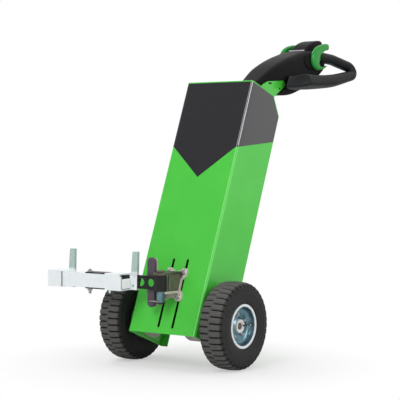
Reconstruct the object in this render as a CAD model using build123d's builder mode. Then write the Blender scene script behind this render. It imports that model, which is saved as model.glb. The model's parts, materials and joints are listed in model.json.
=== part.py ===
from build123d import *
from math import cos, radians, sin
import os

os.makedirs("parts", exist_ok=True)

# Walk-behind electric tug: two driven wheels, a leaning sheet-metal housing, a clamp
# coupling on a hinged arm in front, and a moulded steering head above the back.
# The origin is on the floor midway between the two wheel contacts.
# X is the width, -Y is the coupling side, +Y is the operator's side and Z is up.

# Housing
LEAN = 21.87            # housing leans back from vertical, degrees
FOOT_Y = -108.5         # lower front edge of the housing
FOOT_Z = 103.9
BODY_W = 248.0          # outside width
BODY_D = 176.0          # outside depth, square to the front panel
BODY_H = 813.0          # height of the front panel along its own face
CHAMFER_D = 53.0        # depth of the rear chamfer, forward from the back face
CREST_RISE = 5.0        # height gained from the front edge to the crest
HEEL_DROP = 45.0        # drop from the front edge to the chamfer's lower end
SHEET = 3.0             # housing sheet
CORNER_R = 8.0          # outside bend radius of the front corners
RETURN_D = 16.0         # depth of the front panel's folded sides
FLANGE_W = 25.0         # inward flange along the back edges
FILM_T = 0.3            # dark film on the upper housing

# Slots that the coupling plate is bolted through
SLOT_X = (-15.0, 36.5)
SLOT_W = 9.0
SLOT_LOW, SLOT_HIGH = 18.0, 233.0

# Wheels and axle
WHEEL_R = 130.0         # out to the tread
TYRE_W = 85.0
TRACK = 374.0           # between the wheel centres
STUB_R = 10.0           # stub axle
RUN_FIT = 0.05          # radial clearance of a running fit
FACE_GAP = 0.3          # gap between faces that move past each other

# Coupling
PIN_X = sum(SLOT_X) / 2     # vertical hinge pin, midway between the slots
PIN_Y = -122.0
PIN_R = 8.0
ARM_Z = 254.0           # middle height of the arm
BAR_T, BAR_H = 8.0, 40.0
BAR_HOLE_R = 10.0
BAR_HOLE_X = (-58.7, -23.0)

# Derived places
CREST_D, CREST_H = BODY_D - CHAMFER_D, BODY_H + CREST_RISE
HEEL_H = BODY_H - HEEL_DROP
lean = radians(LEAN)
up_dir = Vector(0, sin(lean), cos(lean))
back_dir = Vector(0, cos(lean), -sin(lean))
foot = Vector(0, FOOT_Y, FOOT_Z)
half_w = BODY_W / 2
inner_w = half_w - SHEET


def front_plane(depth=0.0):
    """Plane on the front panel, looking forward; x across, y up the panel."""
    return Plane(origin=foot + back_dir * depth, x_dir=(1, 0, 0), z_dir=-back_dir)


def back_plane(depth=BODY_D):
    """Plane on the back face, looking back; y up the face."""
    return Plane(origin=foot + back_dir * depth, x_dir=(-1, 0, 0), z_dir=back_dir)


def side_plane(x=0.0):
    """Plane across the housing, looking to +X; x is depth from the front, y is height."""
    return Plane(origin=foot + Vector(x, 0, 0), x_dir=back_dir, z_dir=(1, 0, 0))


def level_plane(height=0.0):
    """Plane square to the housing's length; x across, y is depth from the front."""
    return Plane(origin=foot + up_dir * height, x_dir=(1, 0, 0), z_dir=up_dir)


def save(piece, label):
    """Name a finished piece and write its STEP file."""
    piece.part.label = label
    export_step(piece.part, f"parts/{label}.step")


# Underside of the top panel, in depth and height on the side plane
top_slope = Vector(CREST_D, CREST_H - BODY_H).normalized()
rear_slope = Vector(BODY_D - CREST_D, HEEL_H - CREST_H).normalized()
top_normal = Vector(-top_slope.Y, top_slope.X)
rear_normal = Vector(-rear_slope.Y, rear_slope.X)
crest_shift = (top_normal + rear_normal) * (SHEET / (1 + top_normal.dot(rear_normal)))
under_front = (0.0, BODY_H - SHEET / top_normal.Y)
under_crest = (CREST_D - crest_shift.X, CREST_H - crest_shift.Y)
under_heel = (BODY_D, HEEL_H - SHEET / rear_normal.Y)


def under_top(depth):
    """Height of the top panel's underside at a depth before the crest."""
    return under_front[1] + depth * top_slope.Y / top_slope.X


# Front panel: one folded sheet with rounded corners and short sides
with BuildPart() as front_panel:
    with BuildSketch(level_plane()) as front_section:
        with Locations((0, RETURN_D / 2)):
            Rectangle(BODY_W, RETURN_D)
        fillet(front_section.vertices().group_by(Axis.Y)[0], CORNER_R)
        with BuildSketch(mode=Mode.SUBTRACT) as front_inside:
            with Locations((0, (RETURN_D + SHEET) / 2)):
                Rectangle(2 * inner_w, RETURN_D - SHEET)
            fillet(front_inside.vertices().group_by(Axis.Y)[0], CORNER_R - SHEET)
    extrude(amount=BODY_H)
    top_under = Plane(
        origin=foot + up_dir * under_front[1],
        x_dir=(1, 0, 0),
        z_dir=up_dir * top_normal.Y + back_dir * top_normal.X,
    )
    split(bisect_by=top_under, keep=Keep.BOTTOM)
    with BuildSketch(front_plane()):
        with Locations(*[(x, (SLOT_LOW + SLOT_HIGH) / 2) for x in SLOT_X]):
            SlotOverall(SLOT_HIGH - SLOT_LOW, SLOT_W, rotation=90)
    extrude(amount=-2 * SHEET, mode=Mode.SUBTRACT)
save(front_panel, "front_panel")

# Side panels: flat sheet with an inward flange along the back edge
AXLE_HOLE_R = 14.0
for name, side in (("left", -1), ("right", 1)):
    with BuildPart() as side_panel:
        with BuildSketch(side_plane(side * inner_w)):
            with BuildLine():
                Polyline(
                    (RETURN_D, 0),
                    (RETURN_D, under_top(RETURN_D)),
                    under_crest,
                    under_heel,
                    (BODY_D, 0),
                    close=True,
                )
            make_face()
        extrude(amount=side * SHEET)
        with BuildSketch(back_plane(BODY_D - SHEET)):
            with Locations((-side * (half_w - FLANGE_W / 2), under_heel[1] / 2)):
                Rectangle(FLANGE_W, under_heel[1])
        extrude(amount=SHEET)
        with BuildSketch(Plane.YZ.offset(side * (inner_w - 1))):
            with Locations((0, WHEEL_R)):
                Circle(AXLE_HOLE_R)
        extrude(amount=side * (SHEET + 2), mode=Mode.SUBTRACT)
    save(side_panel, f"side_panel_{name}")

# Top panel: bent sheet over the crest and down the rear chamfer
with BuildPart() as top_panel:
    with BuildSketch(side_plane()):
        with BuildLine():
            Polyline(
                (0, BODY_H),
                (CREST_D, CREST_H),
                (BODY_D, HEEL_H),
                under_heel,
                under_crest,
                under_front,
                close=True,
            )
        make_face()
    extrude(amount=half_w, both=True)
    with BuildSketch(level_plane(HEEL_H - 2 * SHEET)) as top_outline:
        with Locations((0, BODY_D / 2)):
            Rectangle(BODY_W, BODY_D)
        fillet(top_outline.vertices().group_by(Axis.Y)[0], CORNER_R)
    extrude(amount=CREST_H - HEEL_H + 4 * SHEET, mode=Mode.INTERSECT)
save(top_panel, "top_panel")

# Back cover: screwed on over the back flanges
COVER_T = 2.5
COVER_EDGE = 11.0       # flange left bare at each side of the cover
COVER_W = BODY_W - 2 * COVER_EDGE
COVER_LOW, COVER_HIGH = 150.0, HEEL_H - 12
COVER_CORNER_R = 12.0
with BuildPart() as back_cover:
    with BuildSketch(back_plane()) as cover_outline:
        with Locations((0, (COVER_LOW + COVER_HIGH) / 2)):
            Rectangle(COVER_W, COVER_HIGH - COVER_LOW)
        fillet(cover_outline.vertices(), COVER_CORNER_R)
    extrude(amount=COVER_T)
save(back_cover, "back_cover")

# Dark film: a chevron on the front and a slanting panel on each side
FILM_EDGE_H = BODY_H - 220.0        # lower edge at the front corners
FILM_TIP_H = BODY_H - 318.0         # tip of the chevron
FILM_BACK_H = BODY_H - 132.0        # lower edge at the back
FILM_MARGIN = 3.0
film_half = half_w - CORNER_R
with BuildPart() as front_film:
    with BuildSketch(front_plane()):
        with BuildLine():
            Polyline(
                (-film_half, FILM_EDGE_H),
                (0, FILM_TIP_H),
                (film_half, FILM_EDGE_H),
                (film_half, under_front[1] - FILM_MARGIN),
                (-film_half, under_front[1] - FILM_MARGIN),
                close=True,
            )
        make_face()
    extrude(amount=FILM_T)
save(front_film, "front_film")

film_rise = (FILM_BACK_H - FILM_EDGE_H) / BODY_D
film_front_d = CORNER_R + 1
film_back_d = BODY_D - FILM_MARGIN
for name, side in (("left", -1), ("right", 1)):
    with BuildPart() as side_film:
        with BuildSketch(side_plane(side * half_w)):
            with BuildLine():
                Polyline(
                    (film_front_d, FILM_EDGE_H + film_rise * film_front_d),
                    (film_front_d, under_top(film_front_d) - FILM_MARGIN),
                    (under_crest[0], under_crest[1] - FILM_MARGIN),
                    (film_back_d, under_heel[1]),
                    (film_back_d, FILM_EDGE_H + film_rise * film_back_d),
                    close=True,
                )
            make_face()
        extrude(amount=side * FILM_T)
    save(side_film, f"side_film_{name}")

# Axle cradle: two cheeks and a shelf, welded inside the lower housing
CHEEK_T = 6.0
CHEEK_D0, CHEEK_H0 = RETURN_D + 4, 8.0
CHEEK_D1 = BODY_D - 26.0
SHELF_H, SHELF_T = 134.0, 6.0
with BuildPart() as axle_cradle:
    with BuildSketch(level_plane(CHEEK_H0)):
        for side in (-1, 1):
            with Locations((side * (inner_w - CHEEK_T / 2), (CHEEK_D0 + CHEEK_D1) / 2)):
                Rectangle(CHEEK_T, CHEEK_D1 - CHEEK_D0)
    extrude(amount=SHELF_H - CHEEK_H0)
    with BuildSketch(level_plane(SHELF_H)):
        with Locations((0, (CHEEK_D0 + CHEEK_D1) / 2)):
            Rectangle(2 * inner_w, CHEEK_D1 - CHEEK_D0)
    extrude(amount=SHELF_T)
    with BuildSketch(Plane.YZ.offset(-half_w)):
        with Locations((0, WHEEL_R)):
            Circle(AXLE_HOLE_R)
    extrude(amount=BODY_W, mode=Mode.SUBTRACT)
save(axle_cradle, "axle_cradle")

# Drive axle: gearbox casting to the right of the middle, tubes and end flanges
AXLE_TUBE_R = 24.0
GEARBOX_R = 56.0
END_FLANGE_R, END_FLANGE_T = 56.0, 12.0
GEARBOX_X0, GEARBOX_X1 = 28.0, 84.0
axle_end = inner_w - CHEEK_T
STUB_SEAT = 20.0        # length of stub axle held in the casting
with BuildPart() as drive_axle:
    with BuildSketch(Plane(origin=(0, 0, WHEEL_R), x_dir=(1, 0, 0), z_dir=(0, -1, 0))):
        with BuildLine():
            Polyline(
                (-axle_end, 0),
                (-axle_end, END_FLANGE_R),
                (-axle_end + END_FLANGE_T, END_FLANGE_R),
                (-axle_end + END_FLANGE_T + 6, AXLE_TUBE_R),
                (GEARBOX_X0, AXLE_TUBE_R),
                (GEARBOX_X0 + 10, GEARBOX_R),
                (GEARBOX_X1, GEARBOX_R),
                (GEARBOX_X1 + 8, END_FLANGE_R - 8),
                (axle_end - END_FLANGE_T, END_FLANGE_R - 8),
                (axle_end - END_FLANGE_T, END_FLANGE_R),
                (axle_end, END_FLANGE_R),
                (axle_end, 0),
                close=True,
            )
        make_face()
    revolve(axis=Axis((0, 0, WHEEL_R), (1, 0, 0)))
    for side in (-1, 1):
        with BuildSketch(Plane.YZ.offset(side * (axle_end - STUB_SEAT))):
            with Locations((0, WHEEL_R)):
                Circle(STUB_R)
        extrude(amount=side * (STUB_SEAT + 1), mode=Mode.SUBTRACT)
save(drive_axle, "drive_axle")

# Stub axles and the bearing flanges that carry them outside the housing
BEARING_R, BEARING_T = 46.0, 15.0
HUB_FACE_X = TRACK / 2 + 25.0       # outer end of the wheel hub
STUB_END_X = HUB_FACE_X - 3.0
for name, side in (("left", -1), ("right", 1)):
    with BuildPart() as stub_axle:
        with BuildSketch(Plane.YZ.offset(side * (axle_end - STUB_SEAT))):
            with Locations((0, WHEEL_R)):
                Circle(STUB_R)
        extrude(amount=side * (STUB_END_X - axle_end + STUB_SEAT))
    save(stub_axle, f"stub_axle_{name}")
    with BuildPart() as bearing_flange:
        with BuildSketch(Plane.YZ.offset(side * half_w)):
            with Locations((0, WHEEL_R)):
                Circle(BEARING_R)
                Circle(STUB_R, mode=Mode.SUBTRACT)
        extrude(amount=side * BEARING_T)
        outer = bearing_flange.faces().sort_by(Axis.X)[-1 if side > 0 else 0]
        chamfer(outer.edges().sort_by(SortBy.LENGTH)[-1], 5)
    save(bearing_flange, f"bearing_flange_{name}")

# Heavy masses closed in the housing, as plain blocks
MOTOR_W, MOTOR_H = 110.0, 150.0
MOTOR_D = CHEEK_D1 - CHEEK_D0 - 20
with BuildPart() as motor_block:
    with BuildSketch(level_plane(SHELF_H + SHELF_T)):
        with Locations((0, (CHEEK_D0 + CHEEK_D1) / 2)):
            Rectangle(MOTOR_W, MOTOR_D)
    extrude(amount=MOTOR_H)
save(motor_block, "motor_block")

TRAY_H, TRAY_T = 330.0, 4.0
BATTERY_SIDE_GAP, BATTERY_END_GAP = 30.0, 13.5      # clearances inside the housing
BATTERY_H = 170.0
BATTERY_W = 2 * (inner_w - BATTERY_SIDE_GAP)
BATTERY_D = BODY_D - SHEET - RETURN_D - 2 * BATTERY_END_GAP
with BuildPart() as battery_tray:
    with BuildSketch(level_plane(TRAY_H)):
        with Locations((0, (RETURN_D + BODY_D - SHEET) / 2)):
            Rectangle(2 * inner_w, BODY_D - SHEET - RETURN_D)
    extrude(amount=TRAY_T)
save(battery_tray, "battery_tray")

with BuildPart() as battery_block:
    with BuildSketch(level_plane(TRAY_H + TRAY_T)):
        with Locations((0, (RETURN_D + BODY_D - SHEET) / 2)):
            Rectangle(BATTERY_W, BATTERY_D)
    extrude(amount=BATTERY_H)
save(battery_block, "battery_block")

# Wheels: outline radii against the distance from the wheel's middle plane
RIM_FLANGE_R, RIM_FLANGE_X = 65.0, 36.5
RIM_SEAT_R, RIM_T = 52.0, 3.0
LIP_T = 2.5
DISC_X, DISC_T = 10.0, 3.5
HUB_R = 20.0
HUB_IN_X = -41.0
hub_out = HUB_FACE_X - TRACK / 2
tyre_half = TYRE_W / 2
WALL_R = WHEEL_R - 38.0             # widest part of the sidewall
SHOULDER_R, SHOULDER_X = WHEEL_R - 14, tyre_half - 2.5
EDGE_R, EDGE_X = WHEEL_R - 3, tyre_half - 10.0      # outer edge of the tread
GROOVES = 40                        # tread grooves in each of the two rows
GROOVE_W, GROOVE_DEEP = 5.5, 9.0
GROOVE_X0, GROOVE_X1 = 3.0, tyre_half + 2           # from the middle out past the shoulder
GROOVE_SLANT = 9.0                  # round the wheel, over the length of a groove
for name, side in (("left", -1), ("right", 1)):
    wheel_plane = Plane(
        origin=(side * TRACK / 2, 0, WHEEL_R), x_dir=(side, 0, 0), z_dir=(0, -side, 0)
    )
    wheel_axis = Axis((side * TRACK / 2, 0, WHEEL_R), (1, 0, 0))
    with BuildPart() as tyre:
        with BuildSketch(wheel_plane):
            with BuildLine():
                lip = RIM_FLANGE_X - LIP_T
                Line((-lip, RIM_SEAT_R), (lip, RIM_SEAT_R))
                Line((lip, RIM_SEAT_R), (lip, RIM_FLANGE_R))
                ThreePointArc((lip, RIM_FLANGE_R), (tyre_half, WALL_R), (SHOULDER_X, SHOULDER_R))
                Line((SHOULDER_X, SHOULDER_R), (EDGE_X, EDGE_R))
                ThreePointArc((EDGE_X, EDGE_R), (0, WHEEL_R), (-EDGE_X, EDGE_R))
                Line((-EDGE_X, EDGE_R), (-SHOULDER_X, SHOULDER_R))
                ThreePointArc((-SHOULDER_X, SHOULDER_R), (-tyre_half, WALL_R), (-lip, RIM_FLANGE_R))
                Line((-lip, RIM_FLANGE_R), (-lip, RIM_SEAT_R))
            make_face()
        revolve(axis=wheel_axis)
        for row in (-1, 1):
            groove_planes = []
            for k in range(GROOVES):
                turn = radians(360 * (k + (row + 1) / 4) / GROOVES)
                out = Vector(0, cos(turn), sin(turn))
                centre = Vector(side * TRACK / 2, 0, WHEEL_R)
                groove_planes.append(
                    Plane(origin=centre + out * (WHEEL_R + 1), x_dir=(side * row, 0, 0), z_dir=out)
                )
            slant = GROOVE_SLANT * row * side
            with BuildSketch(*groove_planes):
                with BuildLine():
                    Polyline(
                        (GROOVE_X0, -GROOVE_W / 2),
                        (GROOVE_X1, -GROOVE_W / 2 + slant),
                        (GROOVE_X1, GROOVE_W / 2 + slant),
                        (GROOVE_X0, GROOVE_W / 2),
                        close=True,
                    )
                make_face()
            extrude(amount=-GROOVE_DEEP - 1, mode=Mode.SUBTRACT)
    save(tyre, f"tyre_{name}")
    with BuildPart() as rim:
        with BuildSketch(wheel_plane):
            with BuildLine():
                Polyline(
                    (-RIM_FLANGE_X, RIM_SEAT_R - RIM_T),
                    (-RIM_FLANGE_X, RIM_FLANGE_R),
                    (-RIM_FLANGE_X + LIP_T, RIM_FLANGE_R),
                    (-RIM_FLANGE_X + LIP_T, RIM_SEAT_R),
                    (RIM_FLANGE_X - LIP_T, RIM_SEAT_R),
                    (RIM_FLANGE_X - LIP_T, RIM_FLANGE_R),
                    (RIM_FLANGE_X, RIM_FLANGE_R),
                    (RIM_FLANGE_X, RIM_SEAT_R - RIM_T),
                    (DISC_X + DISC_T + 4, RIM_SEAT_R - RIM_T),
                    (DISC_X + DISC_T, RIM_SEAT_R - RIM_T - 5),
                    (DISC_X + DISC_T, HUB_R + 8),
                    (DISC_X + DISC_T + 5, HUB_R),
                    (DISC_X, HUB_R),
                    (DISC_X, RIM_SEAT_R - RIM_T),
                    close=True,
                )
            make_face()
        revolve(axis=wheel_axis)
    save(rim, f"rim_{name}")
    with BuildPart() as hub:
        with BuildSketch(wheel_plane):
            with BuildLine():
                Polyline(
                    (HUB_IN_X, STUB_R + RUN_FIT),
                    (HUB_IN_X, HUB_R),
                    (hub_out - 2, HUB_R),
                    (hub_out, HUB_R - 2),
                    (hub_out, STUB_R + RUN_FIT),
                    close=True,
                )
            make_face()
        revolve(axis=wheel_axis)
    save(hub, f"hub_{name}")

# Rear arm: an end plate on the back flanges and a level tube out to the caster
ARM_PLATE_T, ARM_PLATE_LOW, ARM_PLATE_HIGH = 6.0, 66.0, 142.0
CASTER_R, CASTER_W = 50.0, 32.0
CASTER_Y = 285.0        # swivel axis
CASTER_TRAIL = 33.0
PLATE_Z, PLATE_T = 121.3, 5.0       # caster's own top plate
REAR_TUBE_W, REAR_TUBE_H, REAR_TUBE_WALL = 60.0, 30.0, 3.0
CASTER_PLATE_W, CASTER_PLATE_L = 80.0, 84.0
REAR_TUBE_END = CASTER_Y + CASTER_PLATE_L / 2
ARM_PLATE_W = BODY_W - 12.0
tube_low = PLATE_Z + PLATE_T
with BuildPart() as rear_arm:
    with BuildSketch(Plane.XZ.offset(-REAR_TUBE_END)):
        with Locations((0, tube_low + REAR_TUBE_H / 2)):
            Rectangle(REAR_TUBE_W, REAR_TUBE_H)
            Rectangle(
                REAR_TUBE_W - 2 * REAR_TUBE_WALL,
                REAR_TUBE_H - 2 * REAR_TUBE_WALL,
                mode=Mode.SUBTRACT,
            )
    extrude(amount=REAR_TUBE_END)
    split(bisect_by=back_plane(), keep=Keep.TOP)
    with BuildSketch(back_plane()) as arm_plate:
        with Locations((0, (ARM_PLATE_LOW + ARM_PLATE_HIGH) / 2)):
            Rectangle(ARM_PLATE_W, ARM_PLATE_HIGH - ARM_PLATE_LOW)
        fillet(arm_plate.vertices(), 10)
    extrude(amount=ARM_PLATE_T)
save(rear_arm, "rear_arm")

# Caster: top plate on the arm, swivelling fork, axle bolt and wheel
KING_R = 6.0
CROWN_Z, CROWN_T = 106.0, 5.0
FORK_IN, FORK_T = 20.0, 4.0
CASTER_BOLT_R = 5.0
caster_wheel_y = CASTER_Y + CASTER_TRAIL
with BuildPart() as caster_plate:
    with BuildSketch(Plane.XY.offset(PLATE_Z)) as plate_outline:
        with Locations((0, CASTER_Y)):
            Rectangle(CASTER_PLATE_W, CASTER_PLATE_L)
        fillet(plate_outline.vertices(), 8)
        with Locations((0, CASTER_Y)):
            Circle(KING_R + RUN_FIT, mode=Mode.SUBTRACT)
    extrude(amount=PLATE_T)
save(caster_plate, "caster_plate")

with BuildPart() as caster_fork:
    with BuildSketch(Plane.XY.offset(CROWN_Z)) as crown:
        with Locations((0, CASTER_Y + 4)):
            Rectangle(2 * (FORK_IN + FORK_T), 64)
        fillet(crown.vertices(), 8)
    extrude(amount=CROWN_T)
    with BuildSketch(Plane.XY.offset(CROWN_Z + CROWN_T)):
        with Locations((0, CASTER_Y)):
            Circle(26)
    extrude(amount=PLATE_Z - FACE_GAP - CROWN_Z - CROWN_T)
    with BuildSketch(Plane.XY.offset(CROWN_Z + CROWN_T)):
        with Locations((0, CASTER_Y)):
            Circle(KING_R)
    extrude(amount=PLATE_Z + PLATE_T - CROWN_Z - CROWN_T - FACE_GAP)
    for side in (-1, 1):
        with BuildSketch(Plane.YZ.offset(side * FORK_IN)):
            with BuildLine():
                Polyline(
                    (CASTER_Y - 28, CROWN_Z + CROWN_T),
                    (CASTER_Y + 36, CROWN_Z + CROWN_T),
                    (caster_wheel_y + 14, CASTER_R + 4),
                    (caster_wheel_y + 8, CASTER_R - 12),
                    (caster_wheel_y - 8, CASTER_R - 12),
                    (caster_wheel_y - 18, CASTER_R + 4),
                    close=True,
                )
            make_face()
            with Locations((caster_wheel_y, CASTER_R)):
                Circle(CASTER_BOLT_R, mode=Mode.SUBTRACT)
        extrude(amount=side * FORK_T)
save(caster_fork, "caster_fork")

with BuildPart() as caster_bolt:
    with BuildSketch(Plane.YZ.offset(-FORK_IN - FORK_T - 5)):
        with Locations((caster_wheel_y, CASTER_R)):
            RegularPolygon(9, 6)
    extrude(amount=5)
    with BuildSketch(Plane.YZ.offset(-FORK_IN - FORK_T)):
        with Locations((caster_wheel_y, CASTER_R)):
            Circle(CASTER_BOLT_R)
    extrude(amount=2 * (FORK_IN + FORK_T))
    with BuildSketch(Plane.YZ.offset(FORK_IN + FORK_T)):
        with Locations((caster_wheel_y, CASTER_R)):
            RegularPolygon(9, 6)
    extrude(amount=5)
save(caster_bolt, "caster_bolt")

caster_plane = Plane(origin=(0, caster_wheel_y, CASTER_R), x_dir=(1, 0, 0), z_dir=(0, -1, 0))
caster_axis = Axis((0, caster_wheel_y, CASTER_R), (1, 0, 0))
CORE_R = 38.0
with BuildPart() as caster_tread:
    with BuildSketch(caster_plane):
        with BuildLine():
            Line((-CASTER_W / 2, CORE_R), (CASTER_W / 2, CORE_R))
            Line((CASTER_W / 2, CORE_R), (CASTER_W / 2, CASTER_R - 4))
            ThreePointArc(
                (CASTER_W / 2, CASTER_R - 4), (0, CASTER_R), (-CASTER_W / 2, CASTER_R - 4)
            )
            Line((-CASTER_W / 2, CASTER_R - 4), (-CASTER_W / 2, CORE_R))
        make_face()
    revolve(axis=caster_axis)
save(caster_tread, "caster_tread")

with BuildPart() as caster_core:
    with BuildSketch(caster_plane):
        with BuildLine():
            Polyline(
                (-FORK_IN + 1, CASTER_BOLT_R + RUN_FIT),
                (-FORK_IN + 1, 12),
                (-7, 13),
                (-7, CORE_R - 5),
                (-CASTER_W / 2, CORE_R - 3),
                (-CASTER_W / 2, CORE_R),
                (CASTER_W / 2, CORE_R),
                (CASTER_W / 2, CORE_R - 3),
                (7, CORE_R - 5),
                (7, 13),
                (FORK_IN - 1, 12),
                (FORK_IN - 1, CASTER_BOLT_R + RUN_FIT),
                close=True,
            )
        make_face()
    revolve(axis=caster_axis)
save(caster_core, "caster_core")

# Coupling bracket: an eared plate on the slots, carrying a two-armed yoke
EAR_LOW, EAR_HIGH = 113.0, 190.0
EAR_R = 12.0            # margin of the plate round its bolt holes
EAR_HOLE_R = 4.2
BRACKET_T = 6.0
YOKE_T = 7.0
YOKE_W = 44.0
BARREL_R, BARREL_H = 18.5, 48.0
ear_x0, ear_x1 = SLOT_X[0] - EAR_R, SLOT_X[1] + EAR_R
waist_x0, waist_x1 = PIN_X - YOKE_W / 2 - 3, PIN_X + YOKE_W / 2 + 3
yoke_top = ARM_Z + BARREL_H / 2 + FACE_GAP
yoke_low = ARM_Z - BARREL_H / 2 - FACE_GAP - YOKE_T
with BuildPart() as hitch_bracket:
    with BuildSketch(front_plane()) as ears:
        with BuildLine():
            Polyline(
                (ear_x0, EAR_HIGH + EAR_R),
                (ear_x1, EAR_HIGH + EAR_R),
                (ear_x1, EAR_HIGH - EAR_R),
                (waist_x1, EAR_HIGH - 2 * EAR_R),
                (waist_x1, EAR_LOW + 2 * EAR_R),
                (ear_x1, EAR_LOW + EAR_R),
                (ear_x1, EAR_LOW - EAR_R),
                (ear_x0, EAR_LOW - EAR_R),
                (ear_x0, EAR_LOW + EAR_R),
                (waist_x0, EAR_LOW + 2 * EAR_R),
                (waist_x0, EAR_HIGH - 2 * EAR_R),
                (ear_x0, EAR_HIGH - EAR_R),
                close=True,
            )
        make_face()
        fillet(ears.vertices(), EAR_R / 2)
        with Locations(*[(x, h) for x in SLOT_X for h in (EAR_LOW, EAR_HIGH)]):
            Circle(EAR_HOLE_R, mode=Mode.SUBTRACT)
    extrude(amount=BRACKET_T)
    for z in (yoke_low, yoke_top):
        with BuildSketch(Plane.XY.offset(z)):
            with Locations((PIN_X, PIN_Y / 2)):
                Rectangle(YOKE_W, -PIN_Y)
            with Locations((PIN_X, PIN_Y)):
                Circle(YOKE_W / 2)
            with Locations((PIN_X, PIN_Y)):
                Circle(PIN_R, mode=Mode.SUBTRACT)
        extrude(amount=YOKE_T)
    split(bisect_by=front_plane(), keep=Keep.TOP)
save(hitch_bracket, "hitch_bracket")

# Hinge pin with its head above and a round keeper below
KEEPER_R, KEEPER_H = 12.0, 25.0
PIN_TIP = 8.0           # pin showing below the keeper
PIN_HEAD_R, PIN_HEAD_T = 12.0, 5.0
with BuildPart() as hinge_pin:
    with BuildSketch(Plane.XY.offset(yoke_low - KEEPER_H - PIN_TIP)):
        with Locations((PIN_X, PIN_Y)):
            Circle(PIN_R)
    extrude(amount=yoke_top + YOKE_T - yoke_low + KEEPER_H + PIN_TIP)
    with BuildSketch(Plane.XY.offset(yoke_top + YOKE_T)):
        with Locations((PIN_X, PIN_Y)):
            Circle(PIN_HEAD_R)
    extrude(amount=PIN_HEAD_T)
    with BuildSketch(Plane.XY.offset(yoke_low - KEEPER_H)):
        with Locations((PIN_X, PIN_Y)):
            Circle(KEEPER_R)
    extrude(amount=KEEPER_H)
save(hinge_pin, "hinge_pin")

# Clamp: a fixed jaw on the arm, and a jaw on a tube that slides over its tongue
CLAMP_Y = -152.0        # middle of the clamp tube, in front of the bar
TUBE_S, TUBE_WALL = 42.0, 4.0
SLEEVE_S, SLEEVE_WALL = 50.0, 3.7
SLEEVE_X0, SLEEVE_X1 = -157.0, -100.0
BOX_X0, BOX_X1 = -383.0, -326.0
TUBE_X0, TUBE_X1 = BOX_X1 - 4, -120.0
COLLAR_S, COLLAR_L = 46.0, 15.0     # square strip between the end box and the tube
UNDER_X1, UNDER_T = -285.0, 3.0     # plate under the tube beside the end box
POST_T = 10.0
POST_X, FAR_POST_X = -89.0, -333.0
# the posts' edges from x at the foot and at the top
POST_FOOT_X0, POST_FOOT_X1 = -12.0, 14.0
POST_TOP_X0, POST_TOP_X1 = -2.0, 17.0
POST_LOW, POST_HIGH = ARM_Z - SLEEVE_S / 2, 343.0
POST_HOLE_R, POST_HOLE_UP = 3.5, 12.0
BACKING_T = 5.0
BOLT_X, BOLT_R = -235.0, 5.0
SLIDE_SLOT_W = 11.0
SLIDE_SLOT_X0, SLIDE_SLOT_X1 = -258.0, -152.0
TONGUE_X0 = -300.0
CAP_T, CAP_UP = 4.0, 16.0           # end cap that carries the tongue, and its top above the arm
tongue_s = TUBE_S - 2 * TUBE_WALL - 2 * FACE_GAP
post_front = CLAMP_Y + SLEEVE_S / 2
post_back = post_front + POST_T
far_post_back = CLAMP_Y + COLLAR_S / 2 + POST_T


def post_face(x):
    """Outline of a jaw post leaning a little to +X, from the middle of its foot."""
    Polyline(
        (x + POST_FOOT_X0, POST_LOW),
        (x + POST_FOOT_X1, POST_LOW),
        (x + POST_TOP_X1, POST_HIGH),
        (x + POST_TOP_X0, POST_HIGH),
        close=True,
    )


def bar_end(z):
    """Place of the bar's end at a height, along the fixed post's edge."""
    share = (z - POST_LOW) / (POST_HIGH - POST_LOW)
    return POST_X + POST_FOOT_X1 + share * (POST_TOP_X1 - POST_FOOT_X1)


bar_low, bar_top = ARM_Z - BAR_H / 2, ARM_Z + BAR_H / 2
with BuildPart() as coupling_bar:
    with BuildSketch(Plane.XY.offset(ARM_Z - BARREL_H / 2)):
        with Locations((PIN_X, PIN_Y)):
            Circle(BARREL_R)
    extrude(amount=BARREL_H)
    with BuildSketch(Plane.XZ.offset(-(PIN_Y + BAR_T / 2))):
        with BuildLine():
            Polyline(
                (bar_end(bar_low), bar_low),
                (PIN_X, bar_low),
                (PIN_X, bar_top),
                (bar_end(bar_top), bar_top),
                close=True,
            )
        make_face()
        with Locations(*[(x, ARM_Z) for x in BAR_HOLE_X]):
            Circle(BAR_HOLE_R, mode=Mode.SUBTRACT)
    extrude(amount=BAR_T)
    with BuildSketch(Plane.XY.offset(ARM_Z - BARREL_H / 2)):
        with Locations((PIN_X, PIN_Y)):
            Circle(PIN_R + RUN_FIT)
    extrude(amount=BARREL_H, mode=Mode.SUBTRACT)
save(coupling_bar, "coupling_bar")

PAD_W, PAD_L, PAD_T = 27.0, 148.0, 12.0
PAD_X = -30.0
pad_front = PIN_Y + BAR_T / 2
with BuildPart() as buffer_pad:
    with BuildSketch(Plane.XZ.offset(-(pad_front + PAD_T))):
        with Locations((PAD_X, ARM_Z)):
            SlotOverall(PAD_L, PAD_W, rotation=90)
        with Locations((PAD_X, ARM_Z)):
            Circle(BAR_HOLE_R, mode=Mode.SUBTRACT)
    extrude(amount=PAD_T)
save(buffer_pad, "buffer_pad")

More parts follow.
